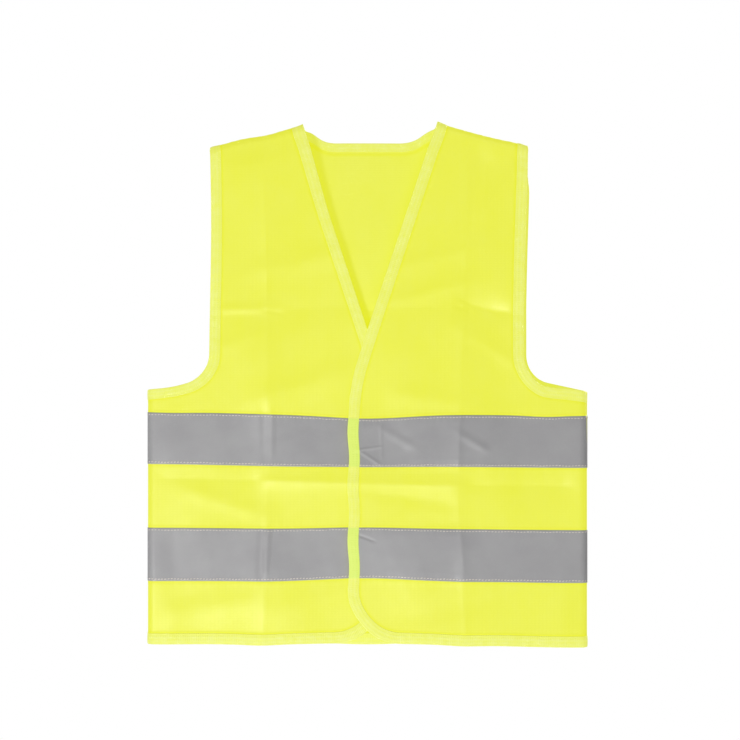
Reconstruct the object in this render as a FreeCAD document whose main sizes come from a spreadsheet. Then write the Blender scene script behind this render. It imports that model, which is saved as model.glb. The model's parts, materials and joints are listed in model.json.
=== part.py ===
import FreeCAD, Part
import math
import os

import Sketcher

# High visibility vest for a child, as it hangs: front towards -Y, neck up, wearer's left at +X.
# Origin: halfway between the two neck points, on the ridge of the shoulders.
# The garment is a flattened tube. Every layer is a shell at its own distance from one flat core,
# so the layers wrap round the side seams and the shoulders together.

doc = FreeCAD.newDocument("HighVisibilityVest")

drivingSizes = [
    ("chestWidth", 424.0, "side seam to side seam, laid flat"),
    ("bodyLength", 500.0, "neck point to hem"),
    ("neckHalf", 67.0, "centre to neck point"),
    ("armholeHalf", 152.0, "centre to the armhole edge"),
    ("shoulderDrop", 24.0, "fall of the shoulder from neck point to tip"),
    ("underarmDrop", 259.0, "neck point level to the armhole's end at the side"),
    ("underarmRise", 13.0, "how much higher the armhole's corner is than its end"),
    ("armholeRadius", 28.0, "round of the armhole's corner"),
    ("overlapHalf", 18.0, "centre line to each front edge"),
    ("frontTurnDrop", 255.0, "where the neckline's slant meets the upright front edge"),
    ("frontTurnRadius", 175.0, "round of that turn"),
    ("hemCornerRadius", 50.0, "round of the front's lower corner"),
    ("backNeckDrop", 20.0, "depth of the back neckline"),
    ("backNeckHalf", 44.0, "centre to the corner of the back neckline"),
    ("backNeckRadius", 48.0, "round of that corner"),
    ("halfGap", 7.0, "half the space between front and back"),
    ("flapStep", 1.5, "how far each flap lies before or behind the side panels"),
    ("fabricThickness", 0.4, "knitted fabric"),
    ("tapeThickness", 0.3, "reflective tape"),
    ("bindingThickness", 0.3, "one leg of the folded edge binding"),
    ("threadThickness", 0.2, "sewing thread, standing on the tape"),
    ("bindingWidth", 10.0, "finished width of the edge binding"),
    ("tapeWidth", 50.0, "reflective tape"),
    ("upperTapeDrop", 281.5, "neck point level to the upper tape's top edge"),
    ("lowerTapeDrop", 391.5, "neck point level to the lower tape's top edge"),
    ("threadInset", 2.0, "tape edge to the middle of its stitching"),
    ("threadWidth", 0.8, "width of one row of stitching"),
    ("foldHalf", 190.0, "centre to the fold line at the hem"),
    ("flapTopDrop", 14.0, "neck point level to the top of each flap"),
    ("flapGap", 0.5, "clearance between a flap and the panel it folds from"),
    ("padWidth", 15.0, "hook pad and loop pad"),
    ("padHeight", 40.0, "hook pad and loop pad"),
    ("padRadius", 2.0, "rounded corners of the pads"),
    ("padThickness", 1.0, "hook pad and loop pad"),
    ("seamDepth", 8.0, "seam allowance inside the side and shoulder seams"),
    ("seamClear", 0.5, "clearance between a seam allowance and the binding"),
    ("seamEaseIn", 0.05, "clearance between a seam allowance and the curved fabric"),
    ("labelWidth", 40.0, "care label"),
    ("labelHeight", 32.0, "care label"),
    ("labelRise", 30.0, "hem to the care label"),
    ("labelThickness", 0.2, "care label"),
    ("labelClear", 0.15, "clearance between the care label and the back panel"),
    ("cutMargin", 30.0, "how far cutting shapes run past the garment"),
]

sheet = doc.addObject("Spreadsheet::Sheet", "Sizes")
for row, (alias, value, note) in enumerate(drivingSizes, start=1):
    sheet.set(f"A{row}", note)
    sheet.set(f"B{row}", str(value))
    sheet.setAlias(f"B{row}", alias)
doc.recompute()


class Size:
    # A length together with the sheet expression that gives it, so both come from one formula.
    def __init__(self, text, value):
        self.text = text
        self.value = value

    def __add__(self, other):
        other = asSize(other)
        return Size(f"({self.text} + {other.text})", self.value + other.value)

    def __sub__(self, other):
        other = asSize(other)
        return Size(f"({self.text} - {other.text})", self.value - other.value)

    def __mul__(self, other):
        other = asSize(other)
        return Size(f"({self.text} * {other.text})", self.value * other.value)

    def __truediv__(self, other):
        other = asSize(other)
        return Size(f"({self.text} / {other.text})", self.value / other.value)

    def __neg__(self):
        return Size(f"(-1 * {self.text})", -self.value)


def asSize(number):
    if isinstance(number, Size):
        return number
    return Size(str(number), float(number))


def cell(alias):
    return Size(f"Sizes.{alias}", float(sheet.get(alias)))


def slopeAngle(rise, run):
    return Size(f"atan({rise.text} / {run.text})", math.degrees(math.atan2(rise.value, run.value)))


# ---- sizes that follow from the driving ones

halfWidth = cell("chestWidth") / 2
bodyLength = cell("bodyLength")
neckHalf = cell("neckHalf")
armholeHalf = cell("armholeHalf")
underarmDrop = cell("underarmDrop")
overlapHalf = cell("overlapHalf")
margin = cell("cutMargin")
bindingWidth = cell("bindingWidth")
bindingThickness = cell("bindingThickness")
tapeWidth = cell("tapeWidth")
flapTopDrop = cell("flapTopDrop")
shoulderAngle = slopeAngle(cell("shoulderDrop"), armholeHalf - neckHalf)

# Distances from the core's middle plane to each layer's faces.
fabricInner = cell("halfGap")
fabricOuter = fabricInner + cell("fabricThickness")
bindingInner = fabricInner - bindingThickness
bindingOuter = fabricOuter + bindingThickness
tapeOuter = fabricOuter + cell("tapeThickness")
threadOuter = tapeOuter + cell("threadThickness")


def foldHalfAt(drop):
    # Centre to the fold line, at a distance below the neck points.
    return neckHalf + (cell("foldHalf") - neckHalf) * drop / bodyLength


def underarmDropAt(half):
    # The armhole's sloping underside, at a distance from the centre.
    slope = cell("underarmRise") / (halfWidth - armholeHalf)
    return underarmDrop - slope * (halfWidth - half)


# ---- drawing helpers

def bind(item, prop, size):
    item.setExpression(prop, size.text)


def vec(point):
    return FreeCAD.Vector(point[0], point[1], 0)


def fixPoint(sketch, geometry, position, x, y, tag):
    # Fixes one point of the sketch from its origin, both distances bound to the sheet.
    for kind, size in (("DistanceX", x), ("DistanceY", y)):
        number = sketch.addConstraint(
            Sketcher.Constraint(kind, -1, 1, geometry, position, size.value))
        sketch.renameConstraint(number, kind + tag)
        bind(sketch, "Constraints." + kind + tag, size)


def fixRadius(sketch, geometry, size, tag):
    number = sketch.addConstraint(Sketcher.Constraint("Radius", geometry, size.value))
    sketch.renameConstraint(number, "Radius" + tag)
    bind(sketch, "Constraints.Radius" + tag, size)


def roundCorner(before, corner, after, radius):
    # Ends, centre and turn of the arc that rounds a corner between two straight sides.
    here = vec(corner)
    back = (vec(before) - here).normalize()
    ahead = (vec(after) - here).normalize()
    half = back.getAngle(ahead) / 2
    reach = radius / math.tan(half)
    centre = here + (back + ahead).normalize() * (radius / math.sin(half))
    leftTurn = (back.negative()).cross(ahead).z > 0
    return here + back * reach, here + ahead * reach, centre, leftTurn


def drawOutline(sketch, corners):
    # Closed outline through corners of (x, y, radius or None), all of them sizes.
    flat = [(x.value, y.value) for x, y, radius in corners]
    count = len(corners)
    enter = []
    leave = []
    arcs = {}
    for i, (x, y, radius) in enumerate(corners):
        if radius is None:
            enter.append(vec(flat[i]))
            leave.append(vec(flat[i]))
            continue
        first, last, centre, leftTurn = roundCorner(
            flat[i - 1], flat[i], flat[(i + 1) % count], radius.value)
        enter.append(first)
        leave.append(last)
        start, end = (first, last) if leftTurn else (last, first)
        circle = Part.Circle(centre, FreeCAD.Vector(0, 0, 1), radius.value)
        arc = Part.ArcOfCircle(circle, circle.parameter(start), circle.parameter(end))
        arcs[i] = (sketch.addGeometry(arc, False), leftTurn)
    lines = []
    for i in range(count):
        side = Part.LineSegment(leave[i], enter[(i + 1) % count])
        lines.append(sketch.addGeometry(side, False))
    for i, (x, y, radius) in enumerate(corners):
        before = lines[i - 1]
        after = lines[i]
        if radius is None:
            sketch.addConstraint(Sketcher.Constraint("Coincident", before, 2, after, 1))
            fixPoint(sketch, after, 1, x, y, str(i))
            continue
        arc, leftTurn = arcs[i]
        first, last = (1, 2) if leftTurn else (2, 1)
        tip = sketch.addGeometry(Part.Point(vec(flat[i])), True)
        sketch.addConstraint(Sketcher.Constraint("Tangent", before, 2, arc, first))
        sketch.addConstraint(Sketcher.Constraint("Tangent", after, 1, arc, last))
        sketch.addConstraint(Sketcher.Constraint("PointOnObject", tip, 1, before))
        sketch.addConstraint(Sketcher.Constraint("PointOnObject", tip, 1, after))
        fixPoint(sketch, tip, 1, x, y, str(i))
        fixRadius(sketch, arc, radius, str(i))


def drawSlot(sketch, first, last, radius):
    # A long hole shape: half circles about two centres, joined by straight sides.
    start = vec((first[0].value, first[1].value))
    end = vec((last[0].value, last[1].value))
    along = (end - start).normalize()
    aside = FreeCAD.Vector(-along.y, along.x, 0) * radius.value
    turn = math.atan2(aside.y, aside.x)
    up = FreeCAD.Vector(0, 0, 1)
    lineA = sketch.addGeometry(Part.LineSegment(start + aside, end + aside), False)
    lineB = sketch.addGeometry(Part.LineSegment(end - aside, start - aside), False)
    arcEnd = sketch.addGeometry(
        Part.ArcOfCircle(Part.Circle(end, up, radius.value), turn - math.pi, turn), False)
    arcStart = sketch.addGeometry(
        Part.ArcOfCircle(Part.Circle(start, up, radius.value), turn, turn + math.pi), False)
    for line, lineEnd, arc, arcPoint in ((lineA, 1, arcStart, 1), (lineA, 2, arcEnd, 2),
                                         (lineB, 1, arcEnd, 1), (lineB, 2, arcStart, 2)):
        sketch.addConstraint(Sketcher.Constraint("Tangent", line, lineEnd, arc, arcPoint))
    sketch.addConstraint(Sketcher.Constraint("Equal", arcStart, arcEnd))
    fixPoint(sketch, arcStart, 3, first[0], first[1], "Start")
    fixPoint(sketch, arcEnd, 3, last[0], last[1], "End")
    fixRadius(sketch, arcStart, radius, "Slot")


def bodySketch(body, role, name):
    sketch = body.newObject("Sketcher::SketchObject", name)
    plane = [item for item in body.Origin.OriginFeatures if item.Role == role][0]
    sketch.AttachmentSupport = (plane, [""])
    sketch.MapMode = "FlatFace"
    return sketch


def patternSketch(name, corners):
    # An outline drawn on the upright XZ plane, its normal towards -Y, the front.
    sketch = doc.addObject("Sketcher::SketchObject", name)
    sketch.Placement = FreeCAD.Placement(
        FreeCAD.Vector(0, 0, 0), FreeCAD.Rotation(FreeCAD.Vector(1, 0, 0), 90))
    drawOutline(sketch, corners)
    return sketch


def offsetOutline(name, source, distance):
    outline = doc.addObject("Part::Offset2D", name)
    outline.Source = source
    outline.Join = "Intersection"
    bind(outline, "Value", distance)
    return outline


def plate(name, outline, near, far, facing=-1):
    # An outline given thickness between two distances from the XZ plane, facing front or back.
    solid = doc.addObject("Part::Extrusion", name)
    solid.Base = outline
    solid.DirMode = "Custom"
    solid.Dir = FreeCAD.Vector(0, facing, 0)
    solid.Solid = True
    bind(solid, "LengthFwd", far)
    bind(solid, "LengthRev", -near)
    return solid


def box(name, low, high):
    solid = doc.addObject("Part::Box", name)
    for axis, side, start, end in zip("xyz", ("Length", "Width", "Height"), low, high):
        bind(solid, side, end - start)
        bind(solid, "Placement.Base." + axis, start)
    return solid


def common(name, solids):
    result = doc.addObject("Part::MultiCommon", name)
    result.Shapes = solids
    return result


def fuse(name, solids):
    result = doc.addObject("Part::MultiFuse", name)
    result.Shapes = solids
    result.Refine = False
    return result


def cut(name, base, tool):
    result = doc.addObject("Part::Cut", name)
    result.Base = base
    result.Tool = tool
    return result


def group(name, solids):
    result = doc.addObject("Part::Compound", name)
    result.Links = solids
    return result


def padBody(name, corners, near, thickness):
    # A flat piece: an outline on the XZ plane, padded towards the front from a distance.
    body = doc.addObject("PartDesign::Body", name)
    sketch = bodySketch(body, "XZ_Plane", name + "_outline")
    drawOutline(sketch, corners)
    bind(sketch, "AttachmentOffset.Base.z", near)
    pad = body.newObject("PartDesign::Pad", name + "_pad")
    pad.Profile = sketch
    bind(pad, "Length", thickness)
    return body


nodes = {}


def node(name, item):
    item.Label = name
    nodes[name] = item


zero = asSize(0)
reach = halfWidth + margin
deep = bodyLength + margin
sides = (("left", 1), ("right", -1))


def signed(side, size):
    return size if side > 0 else -size


# ---- the core at a given distance, and the shells between two distances

def coreTube(name, distance):
    # The flattened tube that wraps both side seams.
    body = doc.addObject("PartDesign::Body", name)
    sketch = bodySketch(body, "XY_Plane", name + "_section")
    axisHalf = halfWidth - fabricOuter
    drawSlot(sketch, (-axisHalf, zero), (axisHalf, zero), distance)
    bind(sketch, "AttachmentOffset.Base.z", -deep)
    pad = body.newObject("PartDesign::Pad", name + "_pad")
    pad.Profile = sketch
    bind(pad, "Length", deep + margin)
    return body


def coreRoof(name, distance, side):
    # The same tube laid along one shoulder, so that it wraps the shoulder's ridge.
    body = doc.addObject("PartDesign::Body", name)
    sketch = bodySketch(body, "YZ_Plane", name + "_section")
    top = (zero, -fabricOuter)
    bottom = (zero, -(fabricOuter + deep * 2))
    drawSlot(sketch, top, bottom, distance)
    bind(sketch, "AttachmentOffset.Base.z", -(reach + deep))
    pad = body.newObject("PartDesign::Pad", name + "_pad")
    pad.Profile = sketch
    bind(pad, "Length", (reach + deep) * 2)
    body.Placement = FreeCAD.Placement(
        FreeCAD.Vector(0, 0, 0), FreeCAD.Rotation(FreeCAD.Vector(0, side, 0), 1))
    bind(body, "Placement.Base.x", signed(side, neckHalf))
    bind(body, "Placement.Rotation.Angle", shoulderAngle)
    return body


layerFaces = {
    "BindingInner": bindingInner,
    "FabricInner": fabricInner,
    "FabricOuter": fabricOuter,
    "BindingOuter": bindingOuter,
    "TapeOuter": tapeOuter,
    "ThreadOuter": threadOuter,
}
cores = {}
for label, distance in layerFaces.items():
    tube = coreTube("Tube" + label, distance)
    roofs = [coreRoof("Roof" + label + word, distance, side) for word, side in sides]
    cores[label] = common("Core" + label, [tube] + roofs)

fabricShell = cut("FabricShell", cores["FabricOuter"], cores["FabricInner"])
bindingShell = cut("BindingShell", cores["BindingOuter"], cores["BindingInner"])
tapeShell = cut("TapeShell", cores["TapeOuter"], cores["FabricOuter"])
threadShell = cut("ThreadShell", cores["ThreadOuter"], cores["TapeOuter"])

# ---- cutting patterns; past the seams they run on by the margin, and the shells end them

frontSlant = (neckHalf + overlapHalf) / cell("frontTurnDrop")
backSlant = (neckHalf - cell("backNeckHalf")) / cell("backNeckDrop")


def frontPattern(word, side):
    return patternSketch(word + "Pattern", [
        (signed(side, neckHalf + frontSlant * margin), margin, None),
        (signed(side, -overlapHalf), -cell("frontTurnDrop"), cell("frontTurnRadius")),
        (signed(side, -overlapHalf), -bodyLength, cell("hemCornerRadius")),
        (signed(side, reach), -bodyLength, None),
        (signed(side, reach), -underarmDropAt(reach), None),
        (signed(side, armholeHalf), -underarmDropAt(armholeHalf), cell("armholeRadius")),
        (signed(side, armholeHalf), margin, None),
    ])


def backHalf(side):
    # From the back neckline's corner round to the hem.
    return [
        (signed(side, cell("backNeckHalf")), -cell("backNeckDrop"), cell("backNeckRadius")),
        (signed(side, neckHalf + backSlant * margin), margin, None),
        (signed(side, armholeHalf), margin, None),
        (signed(side, armholeHalf), -underarmDropAt(armholeHalf), cell("armholeRadius")),
        (signed(side, reach), -underarmDropAt(reach), None),
        (signed(side, reach), -bodyLength, None),
    ]


backPattern = patternSketch("BackPattern", backHalf(1) + backHalf(-1)[::-1])

# ---- back panel and the pieces that run right across the back

depth = margin


def edgeBand(name, pattern, near, far, facing):
    # The strip along a pattern's edge that the folded binding covers, wrapped round the edge.
    outer = plate(name + "Outer", offsetOutline(name + "OuterLine", pattern, bindingThickness),
                  near, far, facing)
    inner = plate(name + "Inner", offsetOutline(name + "InnerLine", pattern, -bindingWidth),
                  near, far, facing)
    return cut(name, outer, inner)


backPrism = plate("BackPrism", backPattern, zero, depth, 1)
backPanel = common("BackPanel", [fabricShell, backPrism])
node("back_panel", backPanel)

backBand = edgeBand("BackBand", backPattern, zero, depth, 1)
backBinding = cut("BackBinding", common("BackBindingFull", [bindingShell, backBand]), backPanel)

# The boxes pick one edge each out of the band, and end well clear of the other edges.
pickClear = bindingWidth * 2
neckReach = armholeHalf - pickClear - bindingWidth
hemBox = box("HemBox", (-reach, -depth, -deep), (reach, depth, -(bodyLength - pickClear)))
neckBox = box("NeckBox", (-neckReach, -depth, -(cell("backNeckDrop") + bindingWidth + pickClear)),
              (neckReach, depth, margin))
node("back_hem_binding", common("BackHemBinding", [backBinding, hemBox]))

tapeBoxes = {}
threadRows = {}
for word in ("upper", "lower"):
    top = -cell(word + "TapeDrop")
    low = top - tapeWidth
    tapeBoxes[word] = box(word + "TapeBox", (-reach, -depth, low), (reach, depth, top))
    node(word + "_tape_back", common(word + "TapeBack", [tapeShell, backPrism, tapeBoxes[word]]))
    inset = cell("threadInset")
    threadHalf = cell("threadWidth") / 2
    rows = []
    for place, level in (("Top", top - inset), ("Low", low + inset)):
        rows.append(box(word + "Row" + place, (-reach, -depth, level - threadHalf),
                        (reach, depth, level + threadHalf)))
    threadRows[word] = rows

allRows = fuse("ThreadRows", threadRows["upper"] + threadRows["lower"])
threadLayer = common("ThreadLayer", [threadShell, allRows])
node("back_tape_thread", common("BackTapeThread", [threadLayer, backPrism]))

# ---- each front: the side panel stays with the back, the flap folds from a slanting line

neckPieces = [common("BackNeckBinding", [backBinding, neckBox])]

for word, side in sides:
    pattern = frontPattern(word, side)
    prism = plate(word + "Prism", pattern, zero, depth)
    mask = patternSketch(word + "FlapLine", [
        (signed(side, foldHalfAt(flapTopDrop)), -flapTopDrop, None),
        (signed(side, foldHalfAt(deep)), -deep, None),
        (signed(side, -(overlapHalf + margin)), -deep, None),
        (signed(side, -(overlapHalf + margin)), -flapTopDrop, None),
    ])
    flapSpace = plate(word + "FlapSpace", offsetOutline(word + "FlapEdge", mask, cell("flapGap")),
                      zero, depth)
    frontShell = common(word + "FrontShell", [fabricShell, prism])
    node(word + "_front_side_panel", cut(word + "SidePanel", frontShell, flapSpace))

    for band in ("upper", "lower"):
        tape = common(word + band + "Tape", [tapeShell, prism, tapeBoxes[band]])
        node(f"{band}_tape_{word}_side", cut(word + band + "SideTape", tape, flapSpace))
    thread = common(word + "Thread", [threadLayer, prism])
    node(word + "_side_tape_thread", cut(word + "SideThread", thread, flapSpace))

    frontBand = edgeBand(word + "Band", pattern, zero, depth, -1)
    bandShell = common(word + "BindingFull", [bindingShell, frontBand])
    binding = cut(word + "SideBinding", cut(word + "Binding", bandShell, frontShell), flapSpace)
    node(word + "_side_hem_binding", common(word + "HemBinding", [binding, hemBox]))
    neckPieces.append(common(word + "NeckBinding", [binding, neckBox]))

    armSpan = (signed(side, armholeHalf - pickClear), signed(side, reach))
    armBox = box(word + "ArmBox", (armSpan[side < 0], -depth, -(underarmDrop + pickClear)),
                 (armSpan[side > 0], depth, margin))
    node(word + "_armhole_binding", fuse(word + "ArmholeBinding", [
        common(word + "ArmholeFront", [binding, armBox]),
        common(word + "ArmholeBack", [backBinding, armBox]),
    ]))

    # The left flap laps over the right one, so it lies further forward.
    inner = fabricInner + cell("flapStep") * side
    outer = inner + cell("fabricThickness")
    tapeFace = outer + cell("tapeThickness")
    flapMask = plate(word + "FlapMask", mask, zero, depth)
    flapPlate = plate(word + "FlapPlate", pattern, inner, outer)
    node(word + "_front_flap", common(word + "Flap", [flapPlate, flapMask]))

    legs = edgeBand(word + "Legs", pattern, inner - bindingThickness,
                    tapeFace + bindingThickness, -1)
    fold = cut(word + "LegsOpen", legs, plate(word + "LegSlot", pattern, inner, tapeFace))
    edgeBinding = common(word + "EdgeBinding", [fold, flapMask])
    node(word + "_front_edge_binding", edgeBinding)

    threads = []
    for band in ("upper", "lower"):
        topDrop = cell(band + "TapeDrop")
        lowDrop = topDrop + tapeWidth
        node(f"{band}_tape_{word}_flap", padBody(f"{word}_{band}_flap_tape", [
            (signed(side, foldHalfAt(topDrop)), -topDrop, None),
            (signed(side, -overlapHalf), -topDrop, None),
            (signed(side, -overlapHalf), -lowDrop, None),
            (signed(side, foldHalfAt(lowDrop)), -lowDrop, None),
        ], outer, cell("tapeThickness")))
        for place, drop in (("Top", topDrop + inset), ("Low", lowDrop - inset)):
            ends = (signed(side, -overlapHalf + bindingWidth), signed(side, foldHalfAt(topDrop)))
            face = tapeFace + cell("threadThickness")
            threads.append(box(word + band + "FlapRow" + place,
                               (ends[side < 0], -face, -drop - threadHalf),
                               (ends[side > 0], -tapeFace, -drop + threadHalf)))

        # Hook pads face inwards on the left flap, loop pads outwards on the right one.
        # The binding is sewn over whatever part of a pad it reaches.
        middle = topDrop + tapeWidth / 2
        padHalf = cell("padWidth") / 2
        padTop = -(middle - cell("padHeight") / 2)
        padLow = -(middle + cell("padHeight") / 2)
        kind = "hook" if side > 0 else "loop"
        padNear = inner - cell("padThickness") if side > 0 else tapeFace
        padCorners = ((-padHalf, padLow), (padHalf, padLow), (padHalf, padTop), (-padHalf, padTop))
        pad = padBody(f"{band}_{kind}", [(x, z, cell("padRadius")) for x, z in padCorners],
                      padNear, cell("padThickness"))
        node(f"{band}_{kind}_pad", cut(f"{band}_{kind}_trimmed", pad, edgeBinding))
    node(word + "_flap_tape_thread", group(word + "FlapThread", threads))

    # Seam allowances: two fabric edges sewn together, standing into the garment.
    fabric = cell("fabricThickness")
    wall = halfWidth - fabric - cell("seamEaseIn")
    span = (signed(side, wall - cell("seamDepth")), signed(side, wall))
    seamTop = -(underarmDrop + bindingWidth + cell("seamClear"))
    seamLow = -(bodyLength - bindingWidth - cell("seamClear"))
    node(word + "_side_seam", box(word + "SideSeam", (span[side < 0], -fabric, seamLow),
                                  (span[side > 0], fabric, seamTop)))

    # The shoulder seam runs between the neck binding and the armhole binding.
    shoulder = doc.addObject("Part::Box", word + "ShoulderSeam")
    bind(shoulder, "Width", fabric * 2)
    bind(shoulder, "Height", cell("seamDepth"))
    neckEnd = neckHalf + bindingWidth * 2
    armEnd = armholeHalf - bindingWidth - cell("seamClear")
    ridge = fabric + cell("seamEaseIn")
    cosine = Size(f"cos({shoulderAngle.text})", math.cos(math.radians(shoulderAngle.value)))
    bind(shoulder, "Length", (armEnd - neckEnd) / cosine)
    node(word + "_shoulder_seam", shoulder)
    start = neckEnd if side > 0 else armEnd
    startFall = (start - neckHalf) * cell("shoulderDrop") / (armholeHalf - neckHalf)
    shoulder.Placement = FreeCAD.Placement(
        FreeCAD.Vector(0, 0, 0), FreeCAD.Rotation(FreeCAD.Vector(0, side, 0), 1))
    bind(shoulder, "Placement.Rotation.Angle", shoulderAngle)
    sine = Size(f"sin({shoulderAngle.text})", math.sin(math.radians(shoulderAngle.value)))
    drop = ridge + cell("seamDepth")
    bind(shoulder, "Placement.Base.x", signed(side, start) - signed(side, drop * sine))
    bind(shoulder, "Placement.Base.y", -fabric)
    bind(shoulder, "Placement.Base.z", -startFall - drop * cosine)

node("neck_binding", fuse("NeckBinding", neckPieces))

# ---- care label, flat against the inside of the back beside the left side seam

labelEnd = halfWidth - fabricOuter
labelLow = -(bodyLength - cell("labelRise"))
labelFace = fabricInner - cell("labelClear")
node("care_label", padBody("care_label_body", [
    (labelEnd - cell("labelWidth"), labelLow, None),
    (labelEnd, labelLow, None),
    (labelEnd, labelLow + cell("labelHeight"), None),
    (labelEnd - cell("labelWidth"), labelLow + cell("labelHeight"), None),
], -labelFace, cell("labelThickness")))

# ---- recompute, check and write

doc.recompute()

faults = []
for item in doc.Objects:
    if "Invalid" in item.State or "Error" in item.State:
        faults.append(f"{item.Name} {item.State}")
for name, item in nodes.items():
    shape = item.Shape
    if shape.isNull() or not shape.isValid() or not shape.Solids:
        faults.append(name + " has no valid solid")
if faults:
    raise RuntimeError("; ".join(faults))

os.makedirs("parts", exist_ok=True)
for name, item in nodes.items():
    solids = item.Shape.Solids
    piece = solids[0] if len(solids) == 1 else Part.makeCompound(solids)
    piece.exportStep(f"parts/{name}.step")
    span = piece.BoundBox
    print(f"{name:28s} solids {len(solids)}  volume {piece.Volume:10.1f}  "
          f"x {span.XMin:8.2f} {span.XMax:8.2f}  y {span.YMin:7.2f} {span.YMax:7.2f}  "
          f"z {span.ZMin:8.2f} {span.ZMax:8.2f}")
print(len(nodes), "nodes written")
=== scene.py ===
import json

import bpy
import numpy as np
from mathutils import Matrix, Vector

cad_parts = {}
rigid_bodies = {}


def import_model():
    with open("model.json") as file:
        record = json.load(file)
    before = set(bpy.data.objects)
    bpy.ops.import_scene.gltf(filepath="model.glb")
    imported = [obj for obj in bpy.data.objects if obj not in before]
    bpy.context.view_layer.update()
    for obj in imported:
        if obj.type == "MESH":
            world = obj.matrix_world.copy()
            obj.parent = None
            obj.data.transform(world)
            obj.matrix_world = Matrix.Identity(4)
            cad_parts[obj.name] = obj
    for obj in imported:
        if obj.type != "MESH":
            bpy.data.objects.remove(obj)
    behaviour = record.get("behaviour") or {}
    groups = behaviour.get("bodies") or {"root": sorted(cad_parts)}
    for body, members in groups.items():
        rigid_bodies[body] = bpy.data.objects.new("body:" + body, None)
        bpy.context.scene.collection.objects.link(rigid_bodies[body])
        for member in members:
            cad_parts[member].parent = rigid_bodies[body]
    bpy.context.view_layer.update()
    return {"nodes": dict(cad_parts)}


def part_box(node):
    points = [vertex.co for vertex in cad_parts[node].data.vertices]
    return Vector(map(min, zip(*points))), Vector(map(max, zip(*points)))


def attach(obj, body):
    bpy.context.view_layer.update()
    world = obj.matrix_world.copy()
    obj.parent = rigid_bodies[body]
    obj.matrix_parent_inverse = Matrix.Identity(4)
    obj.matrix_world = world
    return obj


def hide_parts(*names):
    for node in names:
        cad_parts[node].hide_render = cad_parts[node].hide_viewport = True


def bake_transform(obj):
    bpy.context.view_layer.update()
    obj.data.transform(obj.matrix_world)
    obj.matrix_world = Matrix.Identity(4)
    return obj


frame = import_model()
scene = bpy.context.scene
print("frame loaded,", len(frame["nodes"]), "nodes")

# The vest hangs upright and faces -Y. Lengths are metres, x is across, z is up from the neck
# points.
vest = {
    "roll": 0.0072,          # middle of the cloth where it turns round a side or a shoulder
    "rollDepth": 0.0074,     # from the outline in to the line it turns round
    "halfWidth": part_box("back_panel")[1].x,
    "neckHalf": 0.067,
    "tipHalf": 0.152,
    "tipDrop": 0.024,
    "underarmDrop": 0.259,
    "underarmRise": 0.0128,
    "underarmRound": 0.028,
    "underarmDip": 0.0004,
    "lap": 0.018,            # how far each front passes the middle
    "vStart": 0.00741,       # where the V leaves the roll of the shoulder
    "turnDrop": 0.255,       # where the V meets the straight front edge
    "turnRound": 0.175,
    "cornerRound": 0.050,
    "hemDrop": 0.500,
    "backNeckDrop": 0.020,
    "backNeckHalf": 0.044,
    "backNeckRound": 0.048,
    "lapStep": 0.0015,       # over front out, under front in
    "foldHalf": 0.190,       # where the line that a front swings on meets the hem
}
quarter = np.pi / 2
sideLine = vest["halfWidth"] - vest["rollDepth"]
sideSeam = sideLine + quarter * vest["roll"]     # side seam on the cloth laid flat
hemLevel = -vest["hemDrop"]


# helpers for shapes

def unit(rows):
    # each row divided by its length
    return rows / np.linalg.norm(rows, axis=-1, keepdims=True)


def ease(t):
    # 0 below 0, 1 above 1, and 3t^2 - 2t^3 between
    t = np.clip(t, 0, 1)
    return t * t * (3 - 2 * t)


def ramp(t, start, run):
    # 0 up to start, 1 from start + run on
    return ease((t - start) / run)


def swell(t, centre, reach):
    # bell curve, exp(-((t - centre) / reach)^2)
    return np.exp(-(((t - centre) / reach) ** 2))


def tent(distance, reach, soft):
    # falls off exponentially from its line, rounded over soft
    return np.exp(-(np.sqrt(distance**2 + soft**2) - soft) / reach)


def pressed(distance, *folds):
    # pressed folds along one line, each a tent given as height, reach and rounding
    return sum(height * tent(distance, reach, soft) for height, reach, soft in folds)


def streak(x, z, x0, z0, x1, z1, width):
    # bell across the line from (x0, z0) to (x1, z1), dying away past its ends
    run = np.array([x1 - x0, z1 - z0])
    size = np.hypot(*run)
    along = ((x - x0) * run[0] + (z - z0) * run[1]) / size
    away = np.abs((x - x0) * run[1] - (z - z0) * run[0]) / size
    past = np.maximum(0, np.abs(along - size / 2) - size / 2)
    return np.exp(-((away / width) ** 2) - (past / (2.5 * width)) ** 2)


def resample(path, step):
    # the same path with even steps along its length, and the length at each point
    gaps = np.hypot(*np.diff(path, axis=0).T)
    run = np.concatenate([[0], np.cumsum(gaps)])
    at = np.linspace(0, run[-1], max(2, int(round(run[-1] / step))) + 1)
    return np.stack([np.interp(at, run, path[:, k]) for k in (0, 1)], 1), at


def roundedPath(corners, rounds, step):
    # straight runs with each corner replaced by the arc of its radius that touches both runs
    points = np.asarray(corners, float)
    parts = []
    for i, radius in enumerate(rounds):
        if radius == 0:
            parts.append(points[i : i + 1])
            continue
        back, on = unit(points[i - 1] - points[i]), unit(points[i + 1] - points[i])
        half = np.arccos(np.clip(back @ on, -1, 1)) / 2
        centre = points[i] + unit(back + on) * radius / np.sin(half)
        first = points[i] + back * radius / np.tan(half) - centre
        last = points[i] + on * radius / np.tan(half) - centre
        start = np.arctan2(first[1], first[0])
        sweep = (np.arctan2(last[1], last[0]) - start + np.pi) % (2 * np.pi) - np.pi
        turn = start + sweep * np.linspace(0, 1, 25)
        parts.append(centre + radius * np.stack([np.cos(turn), np.sin(turn)], 1))
    return resample(np.concatenate(parts), step)


ridgeRun = unit(np.array([vest["tipHalf"] - vest["neckHalf"], -vest["tipDrop"]]))
ridgeUp = np.array([-ridgeRun[1], ridgeRun[0]])
swingRun = unit(np.array([vest["foldHalf"] - vest["neckHalf"], hemLevel]))

# how the cloth hangs: every layer asks for its place here, so that tapes and bindings follow the
# cloth; in all of it the numbers inside sin and cos are radians per metre

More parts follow.
